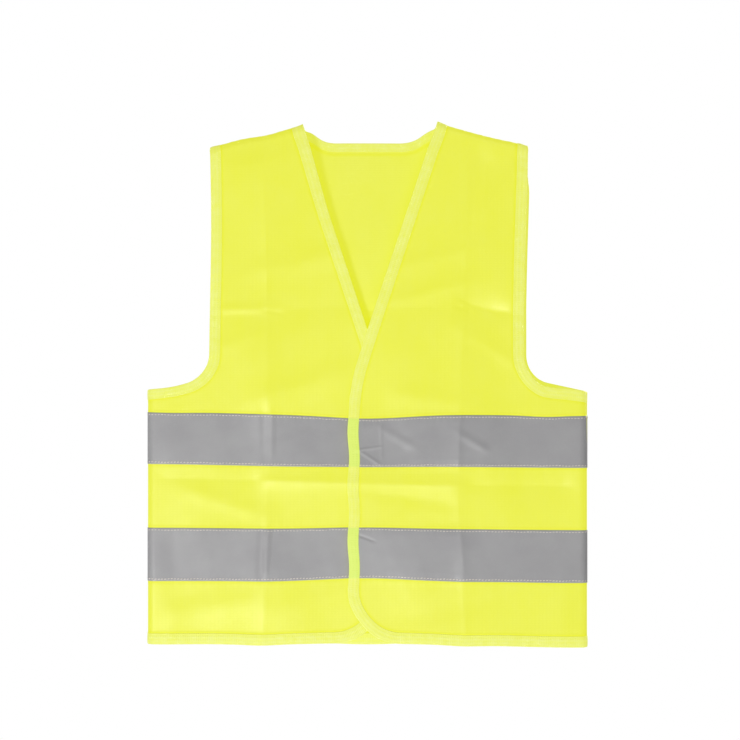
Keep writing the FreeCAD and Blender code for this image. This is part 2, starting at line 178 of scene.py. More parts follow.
drape = {
    # pressed folds: height, how far they fall off, how far their top is rounded
    "longFold": (0.0012, 0.048, 0.0035),
    "longCrest": (0.00050, 0.0045, 0.0010),
    "chestFold": (-0.0019, 0.013, 0.0022),
    "chestCrest": (-0.00022, 0.004, 0.0012),
    "waistFold": (0.0013, 0.011, 0.0016),
    "waistCrest": (0.00030, 0.0035, 0.0010),
    "leftFoldX": 0.0915, "leftBow": 0.0045, "leftLow": 0.0038,
    "rightFoldX": -0.1005, "rightBow": 0.0048,
    "chestLevel": -0.178, "waistLevel": -0.3455,
    # slack between the folds, and what the seams gather
    "wave": 0.0009, "smallWave": 0.00026, "ripple": 0.00003, "pucker": 0.00008,
    "patches": 1.3,          # strength of the patches and creases listed below
    # the left long fold on the tapes, pressed harder: height, reach outwards and inwards, rounding
    "tapeFold": (0.0018, 0.009, 0.05, 0.0008),
}
backDrape = {
    "longFold": (0.0013, 0.030, 0.0024),
    "longCrest": (0.0005, 0.0045, 0.0009),
    "crossFold": (0.0010, 0.014, 0.0016),
    "crossCrest": (0.0004, 0.004, 0.0009),
    "foldX": 0.098, "chestLevel": -0.182, "waistLevel": -0.352,
    "wave": 0.0009, "smallWave": 0.0005,
    "neckHollow": 0.0050,    # the middle of the back falls towards the front below the neck
}


def foldX(z, left):
    # the two long pressed folds wander a little from plumb
    d = drape
    if left:
        bow = d["leftBow"] * np.cos(2 * np.pi * (z + 0.05) / 0.62)
        return d["leftFoldX"] + bow + d["leftLow"] * ramp(-z, 0.355, 0.08)
    return d["rightFoldX"] + d["rightBow"] * np.sin(np.pi * np.clip((-z - 0.03) / 0.47, 0, 1))


tapeLevels = [(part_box(f"{band}_tape_back")[1].z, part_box(f"{band}_tape_back")[0].z)
              for band in ("upper", "lower")]


def nearTapeEdge(z, reach):
    return sum(swell(z, edge, reach) for levels in tapeLevels for edge in levels)


def tapeUnder(z, soft=0.0008):
    # 1 on the tapes, 0 off them
    return sum(ease((top - z) / soft + 0.5) * ease((z - low) / soft + 0.5)
               for top, low in tapeLevels)


def depthBelowRidge(x, z):
    return -((np.abs(x) - vest["neckHalf"]) * ridgeUp[0] + z * ridgeUp[1])


softPatches = [
    # broad soft folds: ends of the line, height, width
    (-0.137, -0.181, -0.099, -0.180, 0.0010, 0.0050),
    (-0.092, -0.141, -0.026, -0.126, 0.0011, 0.0110),
    (-0.089, -0.262, -0.032, -0.243, 0.0010, 0.0120),
    (-0.150, -0.222, -0.112, -0.206, 0.0006, 0.0090),
    (0.044, -0.136, 0.090, -0.124, 0.0009, 0.0090),
    (0.038, -0.170, 0.086, -0.157, 0.0011, 0.0080),
    (0.045, -0.262, 0.080, -0.270, 0.0009, 0.0110),
    (0.100, -0.088, 0.112, -0.030, -0.0011, 0.0090),
    (0.116, -0.082, 0.140, -0.050, 0.0008, 0.0080),
    (0.100, -0.205, 0.128, -0.222, 0.0009, 0.0080),
    (-0.160, -0.360, -0.120, -0.372, 0.0007, 0.0090),
    (0.012, -0.358, 0.070, -0.366, -0.0005, 0.0070),
    (-0.180, -0.470, -0.120, -0.462, 0.0008, 0.0110),
    (-0.085, -0.470, -0.040, -0.455, 0.0007, 0.0100),
    (0.050, -0.475, 0.100, -0.462, -0.0007, 0.0100),
]
sharpCreases = [
    # short creases that start under the front edge or beside a long fold
    (-0.010, -0.3142, 0.010, -0.3112, 0.00042, 0.0012),
    (-0.004, -0.3180, 0.010, -0.3275, 0.00038, 0.0016),
    (0.013, -0.290, 0.0135, -0.319, 0.00028, 0.0014),
    (0.021, -0.297, 0.038, -0.308, 0.00040, 0.0042),
    (-0.006, -0.4000, 0.004, -0.4040, -0.00045, 0.0013),
    (0.0950, -0.3035, 0.1075, -0.3110, 0.00075, 0.0040),
    # beside the right long fold the tapes are pressed into a small pleat: a groove, then a ridge
    (-0.0992, -0.284, -0.0997, -0.318, -0.00050, 0.0034),
    (-0.0915, -0.284, -0.0922, -0.318, 0.00055, 0.0030),
    (-0.1020, -0.396, -0.1032, -0.432, -0.00050, 0.0034),
    (-0.0958, -0.396, -0.0976, -0.432, 0.00055, 0.0026),
    (-0.0965, -0.1815, -0.087, -0.1835, -0.00055, 0.0024),
    (0.092, -0.176, 0.104, -0.181, 0.00070, 0.0024),
]


def frontRise(x, z):
    # height of the front: pressed folds, slack waves, tape puckers, then patches and creases
    d = drape
    rise = sum(pressed(x - foldX(z, left), d["longFold"], d["longCrest"]) for left in (True, False))
    # a hollow across the chest, strongest outside the long folds
    chest = d["chestLevel"] - 0.12 * np.clip(x - 0.095, 0, 0.06) - 0.006 * swell(x, -0.12, 0.05)
    outside = ramp(x, 0.08, 0.02) * ramp(-x, -0.152, 0.035)
    strong = 0.40 + 1.9 * outside + 0.25 * swell(x, -0.125, 0.03)
    rise += strong * pressed(z - chest, d["chestFold"], d["chestCrest"])
    # a raised line between the tapes, pressed the other way outside the long folds
    waist = d["waistLevel"] - 0.004 * ramp(x, -0.1, 0.2)
    between = ramp(x, -0.112, 0.024) * ramp(-x, -0.102, 0.024)
    way = 1.5 * between - 0.6 * (1 - between) - 0.5 * ramp(x, 0.09, 0.02)
    rise += way * pressed(z - waist, d["waistFold"], d["waistCrest"])
    height, outwards, inwards, soft = d["tapeFold"]
    away = x - foldX(z, True)
    steep = tent(away, np.where(away > 0, outwards, inwards), soft)
    rise += height * steep * tapeUnder(z, 0.016)
    wave = np.sin(x * 41 + z * 9) * np.cos(z * 23 + 1.1) + 0.7 * np.sin(x * 19 - z * 31 + 2.0)
    small = np.sin(x * 73 - z * 52 + 0.4) * np.cos(x * 22 + z * 61)
    small = small + np.sin(x * 96 + z * 38 + 1.9) * 0.6
    ripple = np.sin(x * 310 + z * 120) + np.sin(x * 150 - z * 370 + 0.6)
    rise += d["wave"] * wave + d["smallWave"] * small + d["ripple"] * ripple * nearTapeEdge(z, 0.03)
    rise += d["pucker"] * np.sin(x * 760 + 3 * np.sin(x * 90)) * nearTapeEdge(z, 0.006)
    for x0, z0, x1, z1, height, width in softPatches + sharpCreases:
        rise += d["patches"] * height * streak(x, z, x0, z0, x1, z1, width)
    return rise


def backRise(x, z):
    # height of the back: pressed folds, slack waves, tape puckers and the hollow below the neck
    b = backDrape
    fold = np.abs(x) - b["foldX"] + 0.003 * np.sin(z * 9)
    chest = z - b["chestLevel"] - 0.004 * np.sin(x * 16)
    waist = z - b["waistLevel"] + 0.004 * np.sin(x * 21)
    rise = pressed(fold, b["longFold"], b["longCrest"])
    rise += pressed(chest, b["crossFold"], b["crossCrest"])
    rise -= pressed(waist, b["crossFold"], b["crossCrest"])
    rise += b["wave"] * np.sin(x * 33 + 0.7) * np.cos(z * 19)
    rise += b["smallWave"] * np.sin(x * 61 - z * 47 + 1.2) * np.cos(z * 38 + x * 20)
    rise += drape["pucker"] * np.sin(x * 720 + 3 * np.sin(x * 80)) * nearTapeEdge(z, 0.006)
    return rise - b["neckHollow"] * swell(x, 0, 0.075) * swell(z, -0.17, 0.13)


def clothHeight(x, z, face, lapping):
    # distance of the cloth's middle from the line it turns round, calm near its sides and shoulders
    calm = ramp(-np.abs(x), -sideLine - 0.002, 0.022) * ramp(depthBelowRidge(x, z), 0.006, 0.022)
    if face > 0:
        return vest["roll"] + calm * backRise(x, z)
    # inside the line that a front swings on, the over front lifts and the under front sinks
    reach = -(lapping * x - vest["neckHalf"]) * swingRun[1] + z * swingRun[0]
    lift = vest["lapStep"] * lapping * ease((0.008 - reach) / 0.045)
    seamPucker = 0.0002 * np.sin(x * 700) * swell(depthBelowRidge(x, z), 0.001, 0.006)
    return vest["roll"] + lift + calm * frontRise(x, z) + seamPucker


sag = {
    "lapLift": 0.0031,       # the lap is drawn up at the lower tape
    "lapDrop": 0.0041,       # and hangs at the upper one
    "rightLift": 0.0027, "leftDrop": 0.0013, "leftHemDrop": 0.0018,
    "hemDrop": 0.0022, "hemDropAtFolds": 0.0012,
    "rightShoulderDrop": 0.0034, "rightUnderarmDrop": 0.0034, "leftUnderarmDrop": 0.0036,
    "rightNeckDrop": 0.0020, "leftTipLift": 0.0016,
    "rightNeckIn": 0.0040, "leftNeckOut": 0.0012,
    "rightArmIn": 0.0020, "leftArmIn": 0.0020, "leftTipOut": 0.0020,
    "edgeWave": 0.0008,      # the over front's edge wavers beside the tapes
    "backArmOut": 0.0030, "backHemDrop": 0.0026,
    "backNeckLift": 0.0006, "backNeckEndsLift": 0.0024,
}


def shift(x, z, face, lapping):
    # small shears in the plane of the cloth: each is an amount times bells and ramps that place it
    s, low = sag, ramp(-z, 0.42, 0.08)
    down = swell(x, 0, 0.055) * (s["lapLift"] * swell(z, -0.438, 0.055)
                                 - s["lapDrop"] * swell(z, -0.272, 0.042))
    down += s["rightLift"] * ramp(-x, 0.06, 0.15) * swell(z, -0.305, 0.09)
    down -= ramp(x, 0.06, 0.15) * (s["leftDrop"] + s["leftHemDrop"] * low) * ramp(-z, 0.2, 0.08)
    atFolds = swell(x, -0.103, 0.022) + swell(x, 0.092, 0.022)
    down -= low * (s["hemDrop"] + s["hemDropAtFolds"] * atFolds)
    down -= s["rightShoulderDrop"] * swell(x, -0.095, 0.020) * ramp(z, -0.07, 0.05)
    down -= s["rightUnderarmDrop"] * swell(x, -0.188, 0.026) * swell(z, -0.250, 0.026)
    down -= s["rightNeckDrop"] * swell(x, -0.068, 0.012) * ramp(z, -0.03, 0.02)
    down += s["leftTipLift"] * swell(x, 0.146, 0.026) * ramp(z, -0.08, 0.04)
    across = s["rightNeckIn"] * swell(x, -0.067 - z / 3, 0.020) * ramp(z, -0.10, 0.10)
    across += s["leftNeckOut"] * swell(x, 0.067, 0.010) * ramp(z, -0.03, 0.02)
    across += s["rightArmIn"] * swell(z, -0.100, 0.085) * ramp(-x, 0.115, 0.03)
    across += s["leftTipOut"] * ramp(x, 0.125, 0.02) * ramp(z, -0.13, 0.10)
    leftArm = ramp(x, 0.115, 0.03)
    if face < 0 and lapping > 0:
        across -= s["leftArmIn"] * swell(z, -0.200, 0.085) * leftArm * ramp(-z, 0.030, 0.03)
        nearEdge = swell(x, -0.018, 0.02) * ramp(-z, 0.26, 0.03)
        across += s["edgeWave"] * np.sin(z * 115 + 1) * nearEdge
        down -= s["leftUnderarmDrop"] * swell(x, 0.172, 0.022) * swell(z, -0.250, 0.030)
    if face > 0:
        wide = leftArm * (1 - 0.5 * ramp(-z, 0.09, 0.10))
        across += s["backArmOut"] * wide * ramp(-z, 0.040, 0.03) * ramp(z, -0.27, 0.05)
        down -= s["backHemDrop"] * swell(x, 0, 0.045) * low
        ends = s["backNeckEndsLift"] * swell(np.abs(x), 0.058, 0.009)
        down += (s["backNeckLift"] * swell(x, 0, 0.058) + ends) * ramp(z, -0.06, 0.03)
    return across, down


def onCloth(x, z, face, lapping, above=0.0):
    # a point of the flat cloth, raised by above: past the side line or the shoulder line the cloth
    # turns round a roll, so that x or depth becomes an angle and height its radius
    side = np.where(x < 0, -1.0, 1.0)
    wide = np.abs(x)
    turn = np.clip((wide - sideLine) / vest["roll"], 0, quarter)
    short = np.clip(vest["rollDepth"] - depthBelowRidge(x, z), 0, None)
    tip = np.clip(short / vest["roll"], 0, quarter)
    height = clothHeight(x, z, face, lapping) + above
    wide = np.minimum(wide, sideLine) - ridgeUp[0] * short
    out = height * np.sin(turn) + height * np.sin(tip) * ridgeUp[0]
    across, down = shift(x, z, face, lapping)
    return np.stack([
        side * (wide + out) + across,
        face * height * np.cos(turn) * np.cos(tip),
        z - ridgeUp[1] * short + height * np.sin(tip) * ridgeUp[1] + down,
    ], -1)


# outlines on the flat cloth, for the side where x is positive

tuck = vest["rollDepth"] / ridgeUp[1]
neckPoint = np.array([vest["neckHalf"], 0])
vRun = unit(np.array([-vest["lap"] - vest["neckHalf"], -vest["turnDrop"]]))
neckLow = neckPoint + vRun * vest["vStart"]
neckTop = neckLow + ridgeUp * quarter * vest["roll"]
tipLow = np.array([vest["tipHalf"], -vest["tipDrop"] - tuck])
tipTop = tipLow + ridgeUp * quarter * vest["roll"]
tipTop = tipTop - ridgeRun * vest["roll"] * ridgeUp[0] / ridgeRun[0]
armEnd = np.array([sideSeam, -vest["underarmDrop"] - vest["underarmDip"]])


def frontEdgePath(step):
    # from the side along the hem, round the corner, up the front edge and the V to the shoulder
    edgeX = -vest["lap"]
    corners = [(sideSeam, hemLevel), (edgeX, hemLevel), (edgeX, -vest["turnDrop"]), neckLow,
               neckTop]
    return roundedPath(corners, [0, vest["cornerRound"], vest["turnRound"], 0, 0], step)


def armholePath(step):
    # from the shoulder down the armhole and round under the arm to the side
    underarm = (vest["tipHalf"], -vest["underarmDrop"] + vest["underarmRise"])
    return roundedPath([tipTop, tipLow, underarm, armEnd], [0, 0, vest["underarmRound"], 0], step)


def backNeckPath(step):
    # from one shoulder round the back of the neck to the other
    half = [neckTop, neckLow, (vest["backNeckHalf"], -vest["backNeckDrop"])]
    other = [np.array([-p[0], p[1]]) for p in half[::-1]]
    rounds = [0, 0.006, vest["backNeckRound"]]
    return roundedPath(half + other, rounds + rounds[::-1], step)


def hemPath(step):
    return resample(np.array([[-sideSeam, hemLevel], [sideSeam, hemLevel]]), step)


# making meshes from arrays

def makePiece(name, points, faces, material, uv=None, marks=None):
    mesh = bpy.data.meshes.new(name)
    points = np.ascontiguousarray(points, dtype=np.float32).reshape(-1, 3)
    faces = np.ascontiguousarray(faces, dtype=np.int32)
    mesh.vertices.add(len(points))
    mesh.vertices.foreach_set("co", points.ravel())
    mesh.loops.add(faces.size)
    mesh.loops.foreach_set("vertex_index", faces.ravel())
    mesh.polygons.add(len(faces))
    starts = np.arange(0, faces.size, faces.shape[1], dtype=np.int32)
    mesh.polygons.foreach_set("loop_start", starts)
    mesh.polygons.foreach_set("use_smooth", np.ones(len(faces), bool))
    mesh.update(calc_edges=True)
    if uv is not None:
        layer = mesh.uv_layers.new(name="along")
        corners = np.asarray(uv, np.float32).reshape(-1, 2)[faces.ravel()]
        layer.data.foreach_set("uv", corners.ravel())
    for key, values in (marks or {}).items():
        layer = mesh.attributes.new(key, "FLOAT", "POINT")
        layer.data.foreach_set("value", np.asarray(values, np.float32).ravel())
    mesh.materials.append(material)
    made = bpy.data.objects.new(name, mesh)
    scene.collection.objects.link(made)
    return made


def gridFaces(rows, columns, ring=False):
    # quads between neighbouring rows and columns; ring joins the last row to the first
    down = np.arange(rows if ring else rows - 1)[:, None]
    on = np.arange(columns - 1)[None, :]
    a, b = down * columns + on, ((down + 1) % rows) * columns + on
    return np.stack([a, a + 1, b + 1, b], -1).reshape(-1, 4)


def turnedOut(points, faces, outwards, count):
    # flips all faces if the first ones look away from outwards
    corners = points.reshape(-1, 3)[faces[:count]]
    looks = np.cross(corners[:, 2] - corners[:, 0], corners[:, 3] - corners[:, 1]).sum(0)
    return faces if looks @ np.asarray(outwards, float) > 0 else faces[:, ::-1]


def makeGrid(name, points, material, outwards, thickness,
             ring=False, marks=None, uv=None, count=None):
    rows, columns = points.shape[:2]
    faces = gridFaces(rows, columns, ring)
    faces = turnedOut(points, faces, outwards, count or len(faces))
    if uv is None:
        across, down = np.meshgrid(np.linspace(0, 1, columns), np.linspace(0, 1, rows))
        uv = np.stack([across, down], -1)
    made = makePiece(name, points, faces, material, uv, marks)
    if thickness:
        wall = made.modifiers.new("thickness", "SOLIDIFY")
        wall.thickness, wall.offset = thickness, 0
    return made


def stitchShapes(centres, along, up, size):
    # one small bead for each stitch: four rings of six points, drawn out along the seam
    along = unit(along)
    aside = unit(np.cross(up, along))
    up = np.cross(along, aside)
    turn = np.arange(6) * np.pi / 3
    ends, fat = np.array([-0.5, -0.3, 0.3, 0.5]), np.array([0.35, 1, 1, 0.35])
    bead = np.stack([
        np.repeat(ends, 6) * size[0],
        (fat[:, None] * np.cos(turn)).ravel() * size[1] / 2,
        (fat[:, None] * np.sin(turn)).ravel() * size[2] / 2,
    ], 1)
    points = centres[:, None, :] + sum(
        bead[None, :, k : k + 1] * way[:, None, :] for k, way in enumerate((along, aside, up)))
    ring = np.arange(6)
    on = (ring + 1) % 6
    faces = [np.stack([ring + k, on + k, on + k + 6, ring + k + 6], 1) for k in (0, 6, 12)]
    faces += [np.array([[3, 2, 1, 0], [5, 4, 3, 0], [18, 19, 20, 21], [18, 21, 22, 23]])]
    first = 24 * np.arange(len(centres))[:, None, None]
    return points.reshape(-1, 3), (np.concatenate(faces)[None] + first).reshape(-1, 4)


def makeStitches(name, rows, material):
    shapes = [stitchShapes(*row) for row in rows]
    count = np.cumsum([0] + [len(points) for points, _ in shapes])
    points = np.concatenate([points for points, _ in shapes])
    faces = np.concatenate([faces + first for (_, faces), first in zip(shapes, count)])
    # the bead is right-handed, but mirrored runs aren't, so each one is checked
    centres = points.reshape(-1, 24, 3).mean(1)
    corners = points[faces].reshape(len(centres), -1, 4, 3)
    looks = np.cross(corners[:, :, 2] - corners[:, :, 0], corners[:, :, 3] - corners[:, :, 1])
    out = (looks * (corners.mean(2) - centres[:, None])).sum((1, 2)) > 0
    faces = np.where(np.repeat(out, corners.shape[1])[:, None], faces, faces[:, ::-1])
    return makePiece(name, points, faces, material)


def clothFrame(x, z, face, lapping, above, dx, dz):
    # place, direction of the run (dx, dz) and outward normal of points on the cloth
    small = 0.0004

    def slope(runX, runZ):
        return (onCloth(x + runX * small, z + runZ * small, face, lapping, above)
                - onCloth(x - runX * small, z - runZ * small, face, lapping, above))

    along = slope(dx, dz)
    up = unit(np.cross(along, slope(-dz, dx)))
    flip = np.sign(up[:, 1] * face)
    up = up * np.where(flip == 0, 1, flip)[:, None]
    return onCloth(x, z, face, lapping, above), unit(along), up


# materials

def newGroup(name, inputs, outputs):
    group = bpy.data.node_groups.new(name, "ShaderNodeTree")
    for label, kind, value in inputs:
        made = group.interface.new_socket(name=label, in_out="INPUT", socket_type=kind)
        if value is not None:
            made.default_value = value
    for label, kind in outputs:
        group.interface.new_socket(name=label, in_out="OUTPUT", socket_type=kind)
    given, give = group.nodes.new("NodeGroupInput"), group.nodes.new("NodeGroupOutput")
    return group, given.outputs, give.inputs


def plug(tree, value, socket):
    if isinstance(value, bpy.types.NodeSocket):
        tree.links.new(value, socket)
    else:
        socket.default_value = value


def math(tree, kind, *values):
    made = tree.nodes.new("ShaderNodeMath")
    made.operation = kind
    for value, socket in zip(values, made.inputs):
        plug(tree, value, socket)
    return made.outputs[0]


def times(tree, first, second):
    return math(tree, "MULTIPLY", first, second)


def total(tree, *terms):
    # sum of the terms, each a value or a pair that is multiplied first
    terms = [times(tree, *term) if isinstance(term, tuple) else term for term in terms]
    whole = terms[0]
    for term in terms[1:]:
        whole = math(tree, "ADD", whole, term)
    return whole


def ripples(tree, value, rate):
    # sine of value times rate
    return math(tree, "SINE", times(tree, value, rate))


def blendColour(tree, share, first, second):
    made = tree.nodes.new("ShaderNodeMix")
    made.data_type = "RGBA"
    plug(tree, share, made.inputs[0])
    plug(tree, first, made.inputs[6])
    plug(tree, second, made.inputs[7])
    return made.outputs[2]


def noise(tree, place, scale, detail=3.0, stretch=(1, 1, 1)):
    mapping = tree.nodes.new("ShaderNodeMapping")
    mapping.inputs["Scale"].default_value = stretch
    tree.links.new(place, mapping.inputs["Vector"])
    made = tree.nodes.new("ShaderNodeTexNoise")
    made.inputs["Scale"].default_value = scale
    made.inputs["Detail"].default_value = detail
    tree.links.new(mapping.outputs[0], made.inputs["Vector"])
    return made.outputs["Fac"]


def clipped(tree, value, low, high):
    # 0 at low, 1 at high
    made = tree.nodes.new("ShaderNodeMapRange")
    plug(tree, value, made.inputs[0])
    made.inputs[1].default_value, made.inputs[2].default_value = low, high
    return made.outputs[0]


def threeParts(tree, place):
    made = tree.nodes.new("ShaderNodeSeparateXYZ")
    tree.links.new(place, made.inputs[0])
    return made.outputs


def marked(tree, name):
    # an attribute that makePiece was given under marks
    made = tree.nodes.new("ShaderNodeAttribute")
    made.attribute_name = name
    return made.outputs["Fac"]


def alongAcross(tree):
    made = tree.nodes.new("ShaderNodeUVMap")
    made.uv_map = "along"
    return threeParts(tree, made.outputs[0])[:2]


# knit: rows of loops (wales) crossed by courses, with the yarn's unevenness as long streaks
knit, given, give = newGroup(
    "knitLoops",
    [("Place", "NodeSocketVector", None), ("Wale", "NodeSocketFloat", 900.0),
     ("Course", "NodeSocketFloat", 1400.0), ("Streaks", "NodeSocketFloat", 1.0)],
    [("Height", "NodeSocketFloat"), ("Shade", "NodeSocketFloat")],
)
x, _, z = threeParts(knit, given["Place"])
course = ripples(knit, z, given["Course"])
wale = math(knit, "SINE", total(knit, (x, given["Wale"]), (course, 0.9)))
loops = total(knit, (wale, 0.32), (course, 0.18))
tall = noise(knit, given["Place"], 240, 2, (1, 1, 0.05))
fine = noise(knit, given["Place"], 900, 2)
soft = noise(knit, given["Place"], 38, 3)
uneven = times(knit, math(knit, "SUBTRACT", tall, 0.5), given["Streaks"])
knit.links.new(total(knit, loops, 0.5, (uneven, 0.25)), give["Height"])
shade = total(knit, uneven, (math(knit, "SUBTRACT", fine, 0.5), 0.5),
              (math(knit, "SUBTRACT", soft, 0.5), 0.7), (loops, 0.16), 0.5)
knit.links.new(shade, give["Shade"])

# wear: rubbed patches, more of them towards a worn edge, and specks that serve as painted glints
wear, given, give = newGroup(
    "rubbedPatchesAndGlints",
    [("Place", "NodeSocketVector", None), ("Edge", "NodeSocketFloat", 0.0),
     ("Amount", "NodeSocketFloat", 1.0)],
    [("Mask", "NodeSocketFloat"), ("Glints", "NodeSocketFloat")],
)
patch = clipped(wear, noise(wear, given["Place"], 55, 6), 0.52, 0.78)
glint = clipped(wear, noise(wear, given["Place"], 1900, 1), 0.60, 0.74)
frayed = clipped(wear, noise(wear, given["Place"], 420, 3), 0.35, 0.65)
both = math(wear, "MAXIMUM", times(wear, patch, 0.5), times(wear, given["Edge"], frayed))
wear.links.new(times(wear, both, given["Amount"]), give["Mask"])
wear.links.new(glint, give["Glints"])


def feed(tree, target, **values):
    # sets or links inputs by name, with an underscore for each space
    for key, value in values.items():
        plug(tree, value, target.inputs[key.replace("_", " ")])


def newMaterial(name, roughness, specular=0.5, **constants):
    made = bpy.data.materials.new(name)
    made.use_nodes = True
    tree = made.node_tree
    shader = tree.nodes["Principled BSDF"]
    feed(tree, shader, Roughness=roughness, Specular_IOR_Level=specular, **constants)
    return made, tree, shader, tree.nodes.new("ShaderNodeTexCoord").outputs["Object"]


def placeGroup(tree, group, **values):
    made = tree.nodes.new("ShaderNodeGroup")
    made.node_tree = group
    feed(tree, made, **values)
    return made.outputs


def bumpFrom(tree, shader, height, distance):
    made = tree.nodes.new("ShaderNodeBump")
    feed(tree, made, Distance=distance, Strength=1.0, Height=height)
    tree.links.new(made.outputs[0], shader.inputs["Normal"])


def rgba(red, green, blue):
    return (red, green, blue, 1.0)


# the yarn's glow is painted light: an emission that makes the cloth shine without a lamp, in place
# of the fluorescent dye
knitLook = {
    # first the colour and roughness of the painted shade beside bindings and tapes
    "seamShade": rgba(0.140, 0.148, 0.002), "seamShadeRoughness": 0.35, "glow": 0.675,
    "glowDeep": rgba(0.965, 1.0, 0.0), "glowPale": rgba(0.970, 1.0, 0.003),
    "roughness": 0.46, "specular": 0.75, "sheen": 0.08, "wear": 0.8, "bump": 0.00006,
}


def knitMaterial(name, deep, pale, wale, course, streaks):
    # wale and course are radians per metre
    look = knitLook
    made, tree, shader, place = newMaterial(
        name, look["roughness"], look["specular"], Sheen_Weight=look["sheen"],
        Sheen_Roughness=0.45, Emission_Strength=look["glow"])
    loops = placeGroup(tree, knit, Place=place, Wale=wale, Course=course, Streaks=streaks)
    rubbed = placeGroup(tree, wear, Place=place, Edge=0.0, Amount=look["wear"])["Mask"]
    tone = clipped(tree, loops["Shade"], 0.1, 0.9)
    colour = blendColour(tree, tone, deep, pale)
    colour = blendColour(tree, times(tree, rubbed, 0.25), colour, pale)
    # painted shade beside bindings and tapes: the cloth is darker, deeper yellow and rougher there
    seamShade = marked(tree, "paintedSeamShade")
    feed(tree, shader, Base_Color=blendColour(tree, seamShade, colour, look["seamShade"]),
         Emission_Color=blendColour(tree, tone, look["glowDeep"], look["glowPale"]),
         Roughness=total(tree, (rubbed, 0.1), look["roughness"], (seamShade, look["seamShadeRoughness"])))
    bumpFrom(tree, shader, loops["Height"], look["bump"])
    return made


frontKnit = knitMaterial("yellowKnitFront", deep=rgba(0.148, 0.158, 0.030),
                         pale=rgba(0.156, 0.166, 0.070), wale=4800.0, course=3900.0, streaks=0.22)
backKnit = knitMaterial("yellowKnitBack", deep=rgba(0.148, 0.162, 0.044),
                        pale=rgba(0.156, 0.174, 0.088), wale=5200.0, course=2700.0, streaks=0.15)

bindingLook = {
    "deep": rgba(0.19, 0.215, 0.085), "pale": rgba(0.21, 0.235, 0.190),
    # the seam colour is painted shade in the groove along the stitch line
    "seam": rgba(0.18, 0.205, 0.060), "overTape": rgba(0.17, 0.23, 0.125),
    # the binding's glow is painted light too: it shines without a lamp
    "glow": 0.64, "glowPlain": rgba(0.965, 1.0, 0.02), "glowOverTape": rgba(0.82, 0.97, 0.02),
    "rib": 3600.0, "wale": 62.0, "bump": 0.00012,
}
look = bindingLook
bindingCloth, tree, shader, place = newMaterial(
    "paleBinding", 0.6, 0.5, Sheen_Weight=0.35, Sheen_Roughness=0.5, Emission_Strength=look["glow"])
along, across = alongAcross(tree)
ribs, wales = ripples(tree, along, look["rib"]), ripples(tree, across, look["wale"])
fuzz, cloud = noise(tree, place, 700, 2), noise(tree, place, 130, 3)
cloud = math(tree, "SUBTRACT", cloud, 0.5)
tone = clipped(tree, total(tree, (wales, 0.16), (fuzz, 0.75), (cloud, 1.1)), 0.0, 0.8)
colour = blendColour(tree, tone, look["deep"], look["pale"])
# painted shade: darker along the stitch groove
colour = blendColour(tree, times(tree, marked(tree, "stitchGrooveShade"), 0.6), colour, look["seam"])
under = marked(tree, "overTape")
feed(tree, shader, Base_Color=blendColour(tree, times(tree, under, 0.85), colour, look["overTape"]),
     Emission_Color=blendColour(tree, under, look["glowPlain"], look["glowOverTape"]),
     Roughness=total(tree, (fuzz, 0.12), 0.54))
bumpFrom(tree, shader, total(tree, (ribs, 0.3), (wales, 0.3), fuzz), look["bump"])

tapeLook = {
    "dark": rgba(0.272, 0.268, 0.274), "light": rgba(0.302, 0.299, 0.303),
    # the bead colour is painted glints: lighter specks where the glass beads catch the light
    "bead": rgba(0.46, 0.46, 0.46), "rubbed": rgba(0.25, 0.245, 0.242),
    "weave": 6200.0, "bump": 0.00003,
}
look = tapeLook
silverTape, tree, shader, place = newMaterial("silverBeadTape", 0.46, 0.7, Sheen_Weight=0.1)
across = alongAcross(tree)[1]
edge = clipped(tree, math(tree, "ABSOLUTE", math(tree, "SUBTRACT", across, 0.5)), 0.465, 0.5)
rubbed = placeGroup(tree, wear, Place=place, Edge=edge, Amount=1.0)
grain, cloud = noise(tree, place, 2600, 1), noise(tree, place, 26, 4, (1, 1, 1.6))
x, _, z = threeParts(tree, place)
weave = times(tree, ripples(tree, x, look["weave"]), ripples(tree, z, look["weave"]))
colour = blendColour(tree, clipped(tree, cloud, 0.3, 0.7), look["dark"], look["light"])
# painted glints of the glass beads
colour = blendColour(tree, times(tree, rubbed["Glints"], 0.22), colour, look["bead"])
colour = blendColour(tree, times(tree, rubbed["Mask"], 0.15), colour, look["rubbed"])
feed(tree, shader, Base_Color=colour, Roughness=total(tree, (grain, 0.2), 0.37))
bumpFrom(tree, shader, total(tree, (grain, 0.7), (weave, 0.2)), look["bump"])


def threadMaterial(name, dark, light, glow=0.0):
    # glow, when given, is painted light: an emission that makes the thread shine without a lamp
    made, tree, shader, place = newMaterial(name, 0.5, Sheen_Weight=0.2, Emission_Strength=glow,
                                            Emission_Color=rgba(0.965, 1.0, 0.04))
    x, _, z = threeParts(tree, place)
    twist = ripples(tree, math(tree, "ADD", x, z), 9500.0)
    tone = clipped(tree, total(tree, (twist, 0.3), noise(tree, place, 500, 2)), 0.1, 0.9)
    feed(tree, shader, Base_Color=blendColour(tree, tone, dark, light))
    bumpFrom(tree, shader, twist, 0.00004)
    return made


creamThread = threadMaterial("creamThread", rgba(0.56, 0.50, 0.45), rgba(0.78, 0.72, 0.65))
limeThread = threadMaterial("limeThread", rgba(0.19, 0.21, 0.10), rgba(0.25, 0.27, 0.19), 0.62)


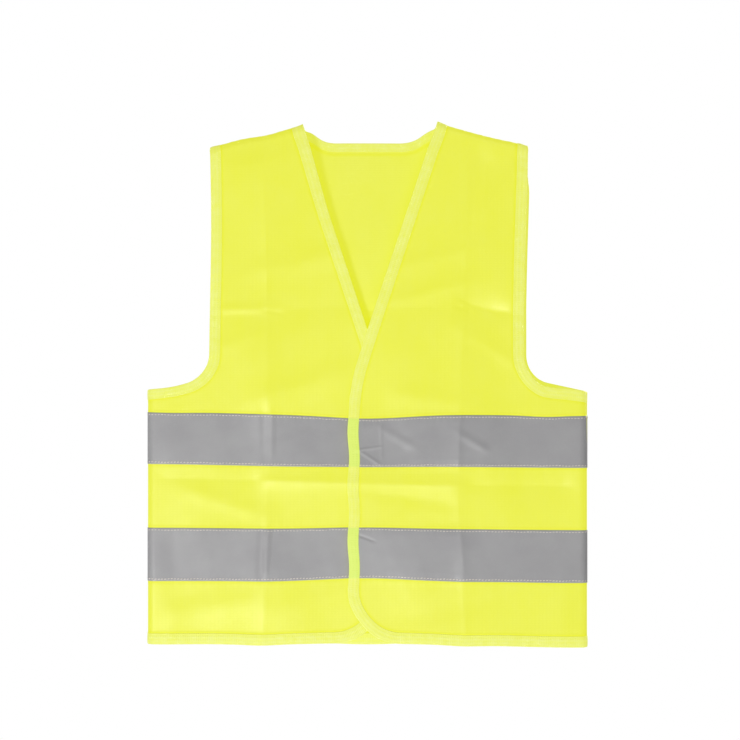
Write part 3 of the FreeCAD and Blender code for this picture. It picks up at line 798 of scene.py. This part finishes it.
def padMaterial(name, dark, light, weave):
    # the pads' emission of 0.42 is painted light: they shine without a lamp
    made, tree, shader, place = newMaterial(
        name, 0.6, 0.4, Sheen_Weight=0.3, Emission_Strength=0.42,
        Emission_Color=rgba(0.94, 1.0, 0.10))
    x, _, z = threeParts(tree, place)
    woven = times(tree, ripples(tree, x, weave), ripples(tree, z, weave))
    fuzz = noise(tree, place, 1200, 3)
    tone = total(tree, (woven, 0.3), fuzz)
    feed(tree, shader, Base_Color=blendColour(tree, clipped(tree, tone, 0.15, 0.9), dark, light),
         Roughness=total(tree, (fuzz, 0.2), 0.45))
    bumpFrom(tree, shader, tone, 0.0001)
    return made


hookNylon = padMaterial("hookNylon", rgba(0.42, 0.46, 0.05), rgba(0.62, 0.66, 0.16), 8000.0)
loopNylon = padMaterial("loopNylon", rgba(0.46, 0.50, 0.06), rgba(0.70, 0.73, 0.24), 5200.0)

labelLook = {
    "clean": rgba(0.82, 0.82, 0.80), "soiled": rgba(0.66, 0.65, 0.60),
    "valley": rgba(0.70, 0.70, 0.69), "satin": 11000.0, "slant": 0.35, "bump": 0.00003,
}
look = labelLook
labelSatin, tree, shader, place = newMaterial("labelSatin", 0.38, 0.6, Sheen_Weight=0.2)
x, _, z = threeParts(tree, place)
satin = ripples(tree, total(tree, (x, look["slant"]), z), look["satin"])
soil = placeGroup(tree, wear, Place=place, Edge=0.0, Amount=0.8)["Mask"]
colour = blendColour(tree, times(tree, soil, 0.5), look["clean"], look["soiled"])
feed(tree, shader,
     Base_Color=blendColour(tree, clipped(tree, satin, -3.0, 1.5), look["valley"], colour))
bumpFrom(tree, shader, satin, look["bump"])
print("materials ready")


# big cloth pieces

cloth = {"thickness": 0.0004, "rows": 0.0018, "columns": 120, "rollColumns": 9}
binding = {
    "width": 0.0100, "thickness": 0.0003, "above": 0.00042, "puff": 0.00022, "overTapePuff": 0.0003,
    "step": 0.0016, "stitchIn": 0.0084, "ripple": 0.00012, "neckShare": 0.80,
}


def frontFlat():
    # rows of straight lines from the front edge out to the armhole or side; the top rows go round
    # the shoulder and the last ones follow the rounded corner down to the hem
    corner, step = vest["cornerRound"], cloth["rows"]
    cornerTop, roundLevel, sideLevel = hemLevel + corner, -0.200, -0.2625
    edge = frontEdgePath(0.0008)[0][::-1]
    edge = edge[edge[:, 1] > cornerTop - 0.001]

    def onEdge(level):
        return np.stack([np.interp(-level, -edge[:, 1], edge[:, 0]), level], 1)

    arm, armRun = armholePath(step)
    below = arm[:, 1] < tipLow[1]
    arm, armRun = arm[below], armRun[below] - armRun[below][0]
    wall = vest["underarmDrop"] - vest["underarmRise"] - vest["underarmRound"] * 0.81
    wall = wall - vest["tipDrop"] - tuck
    armLevel = np.interp(armRun, [0, wall, armRun[-1]], [neckLow[1] - 0.002, roundLevel, sideLevel])
    over = np.linspace(1, 0, 9)[:, None]
    count = int((vest["hemDrop"] - corner + sideLevel) / step)
    t = np.linspace(0, 1, count + 1)[1:]
    turn = np.linspace(0, quarter, 36)[1:]
    cornerLevel = cornerTop - corner * np.sin(turn)
    inner = np.concatenate([
        neckLow + over * (neckTop - neckLow), onEdge(armLevel),
        onEdge(sideLevel + t * (cornerTop - sideLevel)),
        np.stack([corner * (1 - np.cos(turn)) - vest["lap"], cornerLevel], 1),
    ])
    sideZ = np.concatenate([armEnd[1] + t * (cornerTop - armEnd[1]), cornerLevel])
    outer = np.concatenate([tipLow + over * (tipTop - tipLow), arm,
                            np.stack([np.full(len(sideZ), sideSeam), sideZ], 1)])
    rollShare = 1 - 0.052        # columns are closer where the cloth goes round the side
    share = np.concatenate([np.linspace(0, rollShare, cloth["columns"])[:-1],
                            np.linspace(rollShare, 1, cloth["rollColumns"])])
    flat = inner[:, None, :] + share[None, :, None] * (outer - inner)[:, None, :]
    return flat[..., 0], flat[..., 1]


def backFlat():
    # upper part: a patch spanned between the top edge, the two armholes and the underarm line;
    # lower part: level rows down to the hem
    ridgeColumns, neckColumns = 40, 68
    ridge, _ = resample(np.array([tipTop, neckTop]), np.hypot(*(tipTop - neckTop)) / ridgeColumns)
    neck, _ = resample(backNeckPath(0.0004)[0], 0.0004)
    run = np.linspace(0, len(neck) - 1, neckColumns + 1)
    neck = np.stack([np.interp(run, np.arange(len(neck)), neck[:, k]) for k in (0, 1)], 1)
    top = np.concatenate([ridge[:-1], neck, (ridge * [-1, 1])[::-1][1:]])
    columns = len(top)
    left, armRun = armholePath(cloth["rows"])
    right = left * [-1, 1]
    near, roll = 0.95, cloth["rollColumns"]
    wide = np.concatenate([np.linspace(-1, -near, roll)[:-1],
                           np.linspace(-near, near, columns - 2 * (roll - 1)),
                           np.linspace(near, 1, roll)[1:]])
    low = np.stack([-wide * sideSeam, np.full(columns, left[-1, 1])], 1)
    v, u = (armRun / armRun[-1])[:, None, None], np.linspace(0, 1, columns)[None, :, None]
    patch = (1 - v) * top[None] + v * low[None] + (1 - u) * left[:, None] + u * right[:, None]
    patch = patch - ((1 - v) * ((1 - u) * left[0] + u * right[0])
                     + v * ((1 - u) * left[-1] + u * right[-1]))
    count = int((vest["hemDrop"] - vest["underarmDrop"]) / cloth["rows"])
    t = np.linspace(0, 1, count + 1)[1:, None, None]
    flat = np.concatenate([patch, low[None] + t * np.array([0, hemLevel - low[0, 1]])])
    return flat[..., 0], flat[..., 1]


def paintedSeamShade(x, z, paths):
    # painted shade: 1 in the groove beside a binding or a tape, falling off as a bell on both sides
    near, flat = np.zeros_like(x), np.stack([x.ravel(), z.ravel()], 1)[:, None]
    for path in paths:
        away = np.concatenate([np.hypot(*np.moveaxis(part - path[None], 2, 0)).min(1)
                               for part in np.array_split(flat, 60)]).reshape(x.shape)
        near = np.maximum(near, 0.75 * swell(away, binding["width"] + 0.0006, 0.0018))
    for top, low in tapeLevels:
        lines = swell(z, top + 0.0012, 0.0016) + swell(z, low - 0.0012, 0.0016)
        near = np.maximum(near, 0.6 * lines)
    return near


word = {1: "left", -1: "right"}
onSheet = {1: [], -1: [], 0: []}     # pieces that go with the left front, right front and back


def sewOn(piece, sheet, slotName=None, *nodes, body=None):
    # hides what the piece replaces, puts it on its body where one is given or on the vest's body
    # when it goes with the back, and lists it with the sheet that it goes with; the finish given as
    # slotName is not used
    if nodes:
        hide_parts(*nodes)
    if body or sheet == 0:
        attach(piece, body or "vest_body")
    onSheet[sheet].append(piece)


flatX, flatZ = frontFlat()
arm, _ = armholePath(0.0020)
# painted shade beside the front edge, the armholes and the tapes, as a mark on each point
seamShade = {"paintedSeamShade": paintedSeamShade(flatX, flatZ, [frontEdgePath(0.0020)[0], arm])}
sheets = {}
for side in (1, -1):
    name = word[side]
    piece = makeGrid(f"{name}_front_cloth", onCloth(side * flatX, flatZ, -1, side), frontKnit,
                     (0, -1, 0), cloth["thickness"], marks=seamShade)
    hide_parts(f"{name}_front_side_panel", f"{name}_front_flap")
    sheets[side] = piece
backX, backZ = backFlat()
edges = [backNeckPath(0.0020)[0], arm, arm * [-1, 1], hemPath(0.0020)[0]]
# painted shade beside the back's bindings and the tapes
seamShade = {"paintedSeamShade": paintedSeamShade(backX, backZ, edges)}
piece = makeGrid("back_cloth", onCloth(backX, backZ, 1, 0), backKnit, (0, 1, 0), cloth["thickness"],
                 marks=seamShade)
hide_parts("back_panel")
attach(piece, "vest_body")
sheets[0] = piece
print("cloth pieces made")


# reflective tapes, each sewn on over the cloth and caught in the side seams

tape = {"thickness": 0.0003, "above": 0.00042, "rows": 60, "step": 0.0014, "backColumns": 240}
roll = np.linspace(sideLine, sideSeam, 9)
frontX = np.concatenate([np.arange(-vest["lap"] + 0.0006, sideLine - 0.001, tape["step"]), roll])
behindX = np.concatenate([-roll[:0:-1], np.linspace(-sideLine, sideLine, tape["backColumns"]),
                          roll[1:]])


def tapePiece(name, x, top, low, face, side):
    x, z = np.meshgrid(x, np.linspace(top, low, tape["rows"]))
    across = np.broadcast_to(np.linspace(0, 1, tape["rows"])[:, None], x.shape)
    points = onCloth((side or 1) * x, z, face, side, tape["above"])
    return makeGrid(name, points, silverTape, (0, face, 0), tape["thickness"],
                    uv=np.stack([x, across], -1))


for band, (top, low) in zip(("upper", "lower"), tapeLevels):
    for side in (1, -1):
        name = f"{band}_tape_{word[side]}"
        sewOn(tapePiece(name, frontX, top, low, -1, side), side, "reflective_tape",
              f"{name}_side", f"{name}_flap")
    sewOn(tapePiece(f"{band}_tape_behind", behindX, top, low, 1, 0), 0, "reflective_tape",
          f"{band}_tape_back")
print("tapes made")


# folded binding: a U-shaped profile carried along the edge of the cloth

inset = np.array([1.0, 0.95, 0.90, 0.85, 0.80, 0.74, 0.62, 0.48, 0.34, 0.20, 0.09, 0.02])
puffed = (1 - 0.9 * swell(inset, 0.84, 0.05)) * np.sqrt(np.sin(np.pi * np.clip(inset, 0.03, 0.97)))
# painted shade along the stitch line, where the profile is pinched in
sewnGrooveShade = swell(inset, 0.84, 0.06)
profileIn = np.concatenate([inset, [-0.022, -0.034, -0.022], inset[::-1]]) * binding["width"]
profileUp = np.concatenate([inset * 0 + 1, [0.62, 0.0, -0.62], inset * 0 - 1])
profilePuff = np.concatenate([puffed, [0.2, 0, 0.2], puffed[::-1]])
stitchGrooveShade = np.concatenate([sewnGrooveShade, [0, 0, 0], sewnGrooveShade[::-1]])


def inwardFrom(path, hand):
    run = unit(np.gradient(path, axis=0))
    inward = hand * np.stack([-run[:, 1], run[:, 0]], 1)
    # level with the side seam at the side, so that front and back halves meet
    level = np.array([0, np.sign(inward[:, 1].mean())])
    share = ramp(np.abs(path[:, 0]), sideLine - 0.012, 0.020)[:, None]
    return unit(inward * (1 - share) + level * share)


def bindingStrip(path, run, hand, face, lapping, mirror=1, overTape=False, width=1.0):
    # each point of the path plus the profile: in along the cloth, up off it, puffed and rippled
    inward = inwardFrom(path, hand)
    flat = path[:, None, :] + width * profileIn[None, :, None] * inward[:, None, :]
    x, z = mirror * flat[..., 0], flat[..., 1]
    ripple = binding["ripple"] * np.sin(run * 620 + 2 * np.sin(run * 45))[:, None] * profilePuff
    puff = binding["puff"] * profilePuff + ripple
    up = profileUp * binding["above"] + np.sign(profileUp) * puff
    marks = np.zeros_like(x)
    if overTape:
        marks = tapeUnder(z) * (profileUp[None] > 0) * (np.abs(x) < 0.05)
        up = up + binding["overTapePuff"] * marks
    points = onCloth(x, z, face, lapping, up)
    along, across = np.meshgrid(run, np.linspace(0, 1, len(profileIn)), indexing="ij")
    return points, np.stack([along, across], -1), marks, inward


def bindingPiece(name, points, uv, marks, outwards, ring=False):
    marks = {"overTape": marks, "stitchGrooveShade": np.broadcast_to(stitchGrooveShade, marks.shape)}
    return makeGrid(name, points, bindingCloth, outwards, binding["thickness"], ring=ring, uv=uv,
                    marks=marks, count=5)


stitch = {
    "tapeGap": 0.0031, "tapeSize": (0.0022, 0.00080, 0.00040), "tapeIn": 0.0020, "tapeLean": 0.2,
    "edgeGap": 0.0026, "edgeSize": (0.0019, 0.00046, 0.00040), "edgeLean": 0.12,
}
threadAbove = binding["above"] + 0.0001


def edgeStitchRows(path, inward, run, face, lapping, mirror):
    # a row on each face of the binding, spaced along its path, each stitch a little askew
    at = np.arange(stitch["edgeGap"] / 2, run[-1], stitch["edgeGap"])
    line = path + inward * binding["stitchIn"]
    (x, z), (dx, dz) = [[np.interp(at, run, part) for part in parts]
                        for parts in (line.T, np.gradient(line, run, axis=0).T)]
    rows = []
    for above in (threadAbove, -threadAbove):
        here, along, up = clothFrame(mirror * x, z, face, lapping, above, mirror * dx, dz)
        lean = stitch["edgeLean"] * np.sin(at * 2900)[:, None]
        rows.append((here, along + lean * np.cross(up, along), up, stitch["edgeSize"]))
    return rows


def tapeStitchRows(x, face, lapping):
    rows = []
    for top, low in tapeLevels:
        for z in (top - stitch["tapeIn"], low + stitch["tapeIn"]):
            wander = z + 0.00018 * np.sin(x * 260 + z * 900)
            here, along, up = clothFrame(x, wander, face, lapping, tape["above"] + 0.00022,
                                         np.ones_like(x), np.zeros_like(x))
            lean = stitch["tapeLean"] * (1 if z < (top + low) / 2 else 0.25)
            rows.append((here, along + lean * np.cross(up, along), up, stitch["tapeSize"]))
    return rows


edge, edgeRun = frontEdgePath(binding["step"])
arm, armRun = armholePath(binding["step"])
for side in (1, -1):
    name = word[side]
    points, uv, marks, inward = bindingStrip(edge, edgeRun, -1, -1, side, side, overTape=True)
    piece = bindingPiece(f"{name}_front_edge_fold", points, uv, marks, (0, -1, 0))
    sewOn(piece, side, "edge_binding", f"{name}_front_edge_binding", f"{name}_side_hem_binding")
    rows = edgeStitchRows(edge, inward, edgeRun, -1, side, side)
    sewOn(makeStitches(f"{name}_front_edge_stitches", rows, limeThread), side, "sewing_thread")
    x = side * np.arange(-vest["lap"] + binding["width"] + 0.0010, sideSeam, stitch["tapeGap"])
    piece = makeStitches(f"{name}_tape_stitches", tapeStitchRows(x, -1, side), creamThread)
    sewOn(piece, side, "sewing_thread", f"{name}_side_tape_thread", f"{name}_flap_tape_thread")
    # armhole loop, the front half down to the side seam and the back half up again
    front, uv, _, inward = bindingStrip(arm, armRun, -1, -1, side, side)
    behind, _, _, _ = bindingStrip(arm, armRun, -1, 1, 0, side)
    back = uv[::-1][1:-1] * [-1, 1] + [2 * armRun[-1], 0]
    points, uv = np.concatenate([front, behind[::-1][1:-1]]), np.concatenate([uv, back])
    piece = bindingPiece(f"{name}_armhole_fold", points, uv, np.zeros(points.shape[:2]), (0, -1, 0),
                         ring=True)
    sewOn(piece, 0, "edge_binding", f"{name}_armhole_binding")
    rows = (edgeStitchRows(arm, inward, armRun, -1, side, side)
            + edgeStitchRows(arm, inward, armRun, 1, 0, side))
    sewOn(makeStitches(f"{name}_armhole_stitches", rows, limeThread), 0, "sewing_thread")

rows = []
for name, (path, run), share, replaced in (
        ("neck_fold", backNeckPath(binding["step"]), binding["neckShare"], "neck_binding"),
        ("back_hem_fold", hemPath(binding["step"]), 1.0, "back_hem_binding")):
    points, uv, marks, inward = bindingStrip(path, run, 1, 1, 0, width=share)
    sewOn(bindingPiece(name, points, uv, marks, (0, 1, 0)), 0, "edge_binding", replaced)
    rows += edgeStitchRows(path, inward * share, run, 1, 0, 1)
sewOn(makeStitches("neck_and_hem_stitches", rows, limeThread), 0, "sewing_thread")
x = np.arange(-sideSeam + 0.0006, sideSeam, stitch["tapeGap"])
piece = makeStitches("back_tape_stitches", tapeStitchRows(x, 1, 0), creamThread)
sewOn(piece, 0, "sewing_thread", "back_tape_thread")
print("bindings and stitches made")


# hook and loop pads behind and on the overlap: hooks on the cloth's inside, loops on its outside
# over the tape

pads = {
    "width": 0.0150, "base": 0.00035, "cornerRound": 0.002, "step": 0.0016, "pitch": 0.00125,
    "pileHalf": 0.0065, "pileIn": 0.0012, "seamHalf": 0.0062, "seamIn": 0.0014, "seamStep": 0.0020,
    "seamSize": (0.0016, 0.0004, 0.0003),
    "hook": {"material": hookNylon, "slot": "hook_tape", "side": 1, "way": -1,
             "size": (0.00075, 0.00018, 0.00020), "bottom": -(cloth["thickness"] / 2 + 0.0002)},
    "loop": {"material": loopNylon, "slot": "loop_tape", "side": -1, "way": 1,
             "size": (0.0011, 0.00030, 0.00042), "bottom": tape["above"] + 0.00035},
}


def roundedRectangle(halfWide, halfTall, radius, step):
    # rows of a rectangle that narrow towards its rounded corners
    z = np.concatenate([[-halfTall], np.arange(-halfTall + step / 3, halfTall, step), [halfTall]])
    over = np.clip(np.abs(z) - halfTall + radius, 0, radius)
    half = halfWide - radius + np.sqrt(np.maximum(radius**2 - over**2, 0))
    x = np.linspace(-1, 1, 12)[None, :] * half[:, None]
    return x, np.broadcast_to(z[:, None], x.shape)


for band in ("upper", "lower"):
    for kind in ("hook", "loop"):
        pad = pads[kind]
        side, bottom, material = pad["side"], pad["bottom"], pad["material"]
        body = f"{word[side]}_front"
        lowCorner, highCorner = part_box(f"{band}_{kind}_pad")
        middle, tall = (lowCorner.z + highCorner.z) / 2, (highCorner.z - lowCorner.z) / 2
        x, z = roundedRectangle(pads["width"] / 2, tall, pads["cornerRound"], pads["step"])
        piece = makeGrid(f"{band}_{kind}_base", onCloth(x, z + middle, -1, side, bottom), material,
                         (0, side, 0), pads["base"])
        sewOn(piece, side, pad["slot"], f"{band}_{kind}_pad", body=body)
        x, z = np.meshgrid(np.arange(-pads["pileHalf"], pads["pileHalf"] + 0.0001, pads["pitch"]),
                           np.arange(-tall + pads["pileIn"], tall - 0.001, pads["pitch"]))
        shake = np.sin(x * 9000 + z * 5200)
        x = (x + 0.00012 * shake).ravel()
        z = (z + middle + 0.00012 * np.cos(shake * 7)).ravel()
        lift = bottom + pad["way"] * (pads["base"] / 2 + 0.00022)
        here, along, up = clothFrame(x, z, -1, side, lift, np.ones_like(x), np.zeros_like(x))
        if kind == "hook":
            # a hook leans over from the base, every second one the other way
            along = up * 0.8 + along * np.where(np.arange(len(x)) % 2, 1, -1)[:, None] * 0.6
            up = np.cross(along, np.array([0.0, 0.0, 1.0]))
        else:
            along = along + 0.8 * np.sin(x * 31000 + z * 17000)[:, None] * np.cross(up, along)
        piece = makeStitches(f"{band}_{kind}_pile", [(here, along, up, pad["size"])], material)
        sewOn(piece, side, pad["slot"], body=body)
        # the row of stitches that holds the pad, just inside its edge
        wide, high = pads["seamHalf"], tall - pads["seamIn"]
        turns = np.array([[-1, -1], [1, -1], [1, 1], [-1, 1], [-1, -1]])
        line, lineRun = resample(turns * [wide, high], pads["seamStep"])
        dx, dz = np.gradient(line, lineRun, axis=0).T
        lift = lift + pad["way"] * 0.0001
        row = clothFrame(line[:, 0], line[:, 1] + middle, -1, side, lift, dx, dz)
        piece = makeStitches(f"{band}_{kind}_stitches", [(*row, pads["seamSize"])], limeThread)
        sewOn(piece, side, "sewing_thread", body=body)
print("pads made")


# seam allowances inside, with their overlocked edge, and the care label

seam = {
    "width": 0.0080, "thickness": 0.0007, "wave": 0.00022, "gap": 0.0028, "overlockIn": 0.78,
    "threadOut": 0.00038, "threadSize": (0.0030, 0.00036, 0.00026),
    "shoulderFrom": 0.018, "shoulderTo": 0.0745, "shoulderDrop": 0.0006,
}


def sheared(points):
    across, down = shift(points[..., 0], points[..., 2], 0, 0)
    return points + np.stack([across, np.zeros_like(down), down], -1)


def seamPiece(name, first, last, inward, replaced):
    # two plies pressed together: a narrow strip inside the seam, its free edge slightly wavy
    length = np.linalg.norm(last - first)
    rowCount = int(length / 0.002) + 1
    t, s = np.meshgrid(np.linspace(0, 1, rowCount), np.linspace(0, 1, 7), indexing="ij")
    points = first + t[..., None] * (last - first) + s[..., None] * inward * seam["width"]
    points[..., 1] += seam["wave"] * s * np.sin(t * length * 520)
    piece = makeGrid(name, sheared(points), backKnit, (0, -1, 0), seam["thickness"],
                     uv=np.stack([t * length, s], -1))
    sewOn(piece, 0, "yellow_fabric", replaced)
    # overlock: threads slant to and fro over the free edge, on both faces
    at = np.arange(seam["gap"] / 2, length - seam["gap"] / 2, seam["gap"] / 2)[:, None]
    run = (last - first) / length
    zig = np.where(np.arange(len(at)) % 2, 1.0, -1.0)[:, None]
    along = inward[None] * 0.9 + run[None] * zig * 0.42
    rows = []
    for facing in (-1.0, 1.0):
        out = np.array([0, facing, 0])
        here = first + at * run + out * seam["threadOut"]
        here = here + inward * seam["width"] * seam["overlockIn"]
        rows.append((sheared(here), along, np.broadcast_to(out, here.shape), seam["threadSize"]))
    sewOn(makeStitches(f"{name}_overlock", rows, limeThread), 0, "sewing_thread")


for side in (1, -1):
    name = word[side]
    low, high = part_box(f"{name}_side_seam")
    outer = high.x if side > 0 else low.x
    seamPiece(f"{name}_side_allowance", np.array([outer, 0, high.z]), np.array([outer, 0, low.z]),
              np.array([-side, 0.0, 0.0]), f"{name}_side_seam")
    ends = [neckPoint + ridgeRun * at - ridgeUp * seam["shoulderDrop"]
            for at in (seam["shoulderFrom"], seam["shoulderTo"])]
    nearNeck, nearTip = [np.array([side * end[0], 0, end[1]]) for end in ends]
    seamPiece(f"{name}_shoulder_allowance", nearNeck, nearTip,
              np.array([-side * ridgeUp[0], 0, -ridgeUp[1]]), f"{name}_shoulder_seam")

label = {"thickness": 0.0002, "lift": 0.00052, "curl": 0.0016, "crinkle": 0.0003}
low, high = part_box("care_label")
x, z = np.meshgrid(np.linspace(low.x, high.x, 40), np.linspace(high.z, low.z, 34))
free = (high.x - x) / (high.x - low.x)
curl = label["curl"] * ease(free * 1.1) * (0.6 + 0.4 * np.sin(z * 160))
inside = -curl - label["crinkle"] * np.sin(x * 210) - label["lift"]
labelPiece = makeGrid("side_label", onCloth(x, z, 1, 0, inside), labelSatin, (0, -1, 0),
                      label["thickness"])
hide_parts("care_label")
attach(labelPiece, "vest_body")
print("seams and label made")


# the pieces of each front that have no body get their placement baked into their points

for side in (1, -1):
    for piece in [sheets[side]] + onSheet[side]:
        if piece.parent is None:
            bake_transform(piece)


# floor, light and camera

floor = {"level": -1.50, "radius": 2.20, "edgeDrop": 0.004, "rings": 14, "glow": 0.36}
rings = np.linspace(0, 1, floor["rings"])[:, None]
turn = np.linspace(0, 2 * np.pi, 97)[None]
points = np.stack([rings * floor["radius"] * np.cos(turn), rings * floor["radius"] * np.sin(turn),
                   floor["level"] - floor["edgeDrop"] * rings**8 * np.ones_like(turn)], -1)
paper, tree, shader, place = newMaterial(
    "floorPaper", 0.8, 0.2, Emission_Strength=floor["glow"], Emission_Color=rgba(1.0, 1.0, 1.0))
tone = clipped(tree, noise(tree, place, 40, 3), 0.3, 0.7)
feed(tree, shader,
     Base_Color=blendColour(tree, tone, rgba(0.86, 0.86, 0.86), rgba(0.90, 0.90, 0.90)))
makeGrid("floor", points, paper, (0, 0, 1), 0)

# the backdrop is white where the camera sees it and dimmer as a light
world = bpy.data.worlds.new("studio")
scene.world = world
world.use_nodes = True
tree = world.node_tree
backdrop, dim = tree.nodes["Background"], tree.nodes.new("ShaderNodeBackground")
feed(tree, backdrop, Color=rgba(1, 1, 1), Strength=1.0)
feed(tree, dim, Color=rgba(1, 1, 1), Strength=0.40)
choose = tree.nodes.new("ShaderNodeMixShader")
seen = tree.nodes.new("ShaderNodeLightPath").outputs["Is Camera Ray"]
for k, socket in enumerate((seen, dim.outputs[0], backdrop.outputs[0])):
    tree.links.new(socket, choose.inputs[k])
tree.links.new(choose.outputs[0], tree.nodes["World Output"].inputs[0])


def softBox(name, place, target, size, power):
    lamp = bpy.data.lights.new(name, "AREA")
    lamp.shape, lamp.size, lamp.energy = "SQUARE", size, power
    made = bpy.data.objects.new(name, lamp)
    made.location = place
    aim = Vector(target) - Vector(place)
    made.rotation_euler = aim.to_track_quat("-Z", "Y").to_euler()
    scene.collection.objects.link(made)


softBox("keyLight", (-0.95, -1.80, -1.40), (0, 0, -0.30), 0.6, 46)
softBox("fillLight", (0.8, -1.5, 1.2), (0, 0, -0.25), 1.2, 7)
softBox("behindLight", (1.3, 1.6, 0.7), (0, 0, -0.25), 0.8, 36)

camera = bpy.data.cameras.new("camera")
camera.lens, camera.sensor_width = 100, 36
viewer = bpy.data.objects.new("camera", camera)
viewer.location = (0.0024, -1.985, -0.2386)
viewer.rotation_euler = (quarter, 0, 0)
scene.collection.objects.link(viewer)
scene.camera = viewer
scene.view_settings.view_transform = "Standard"
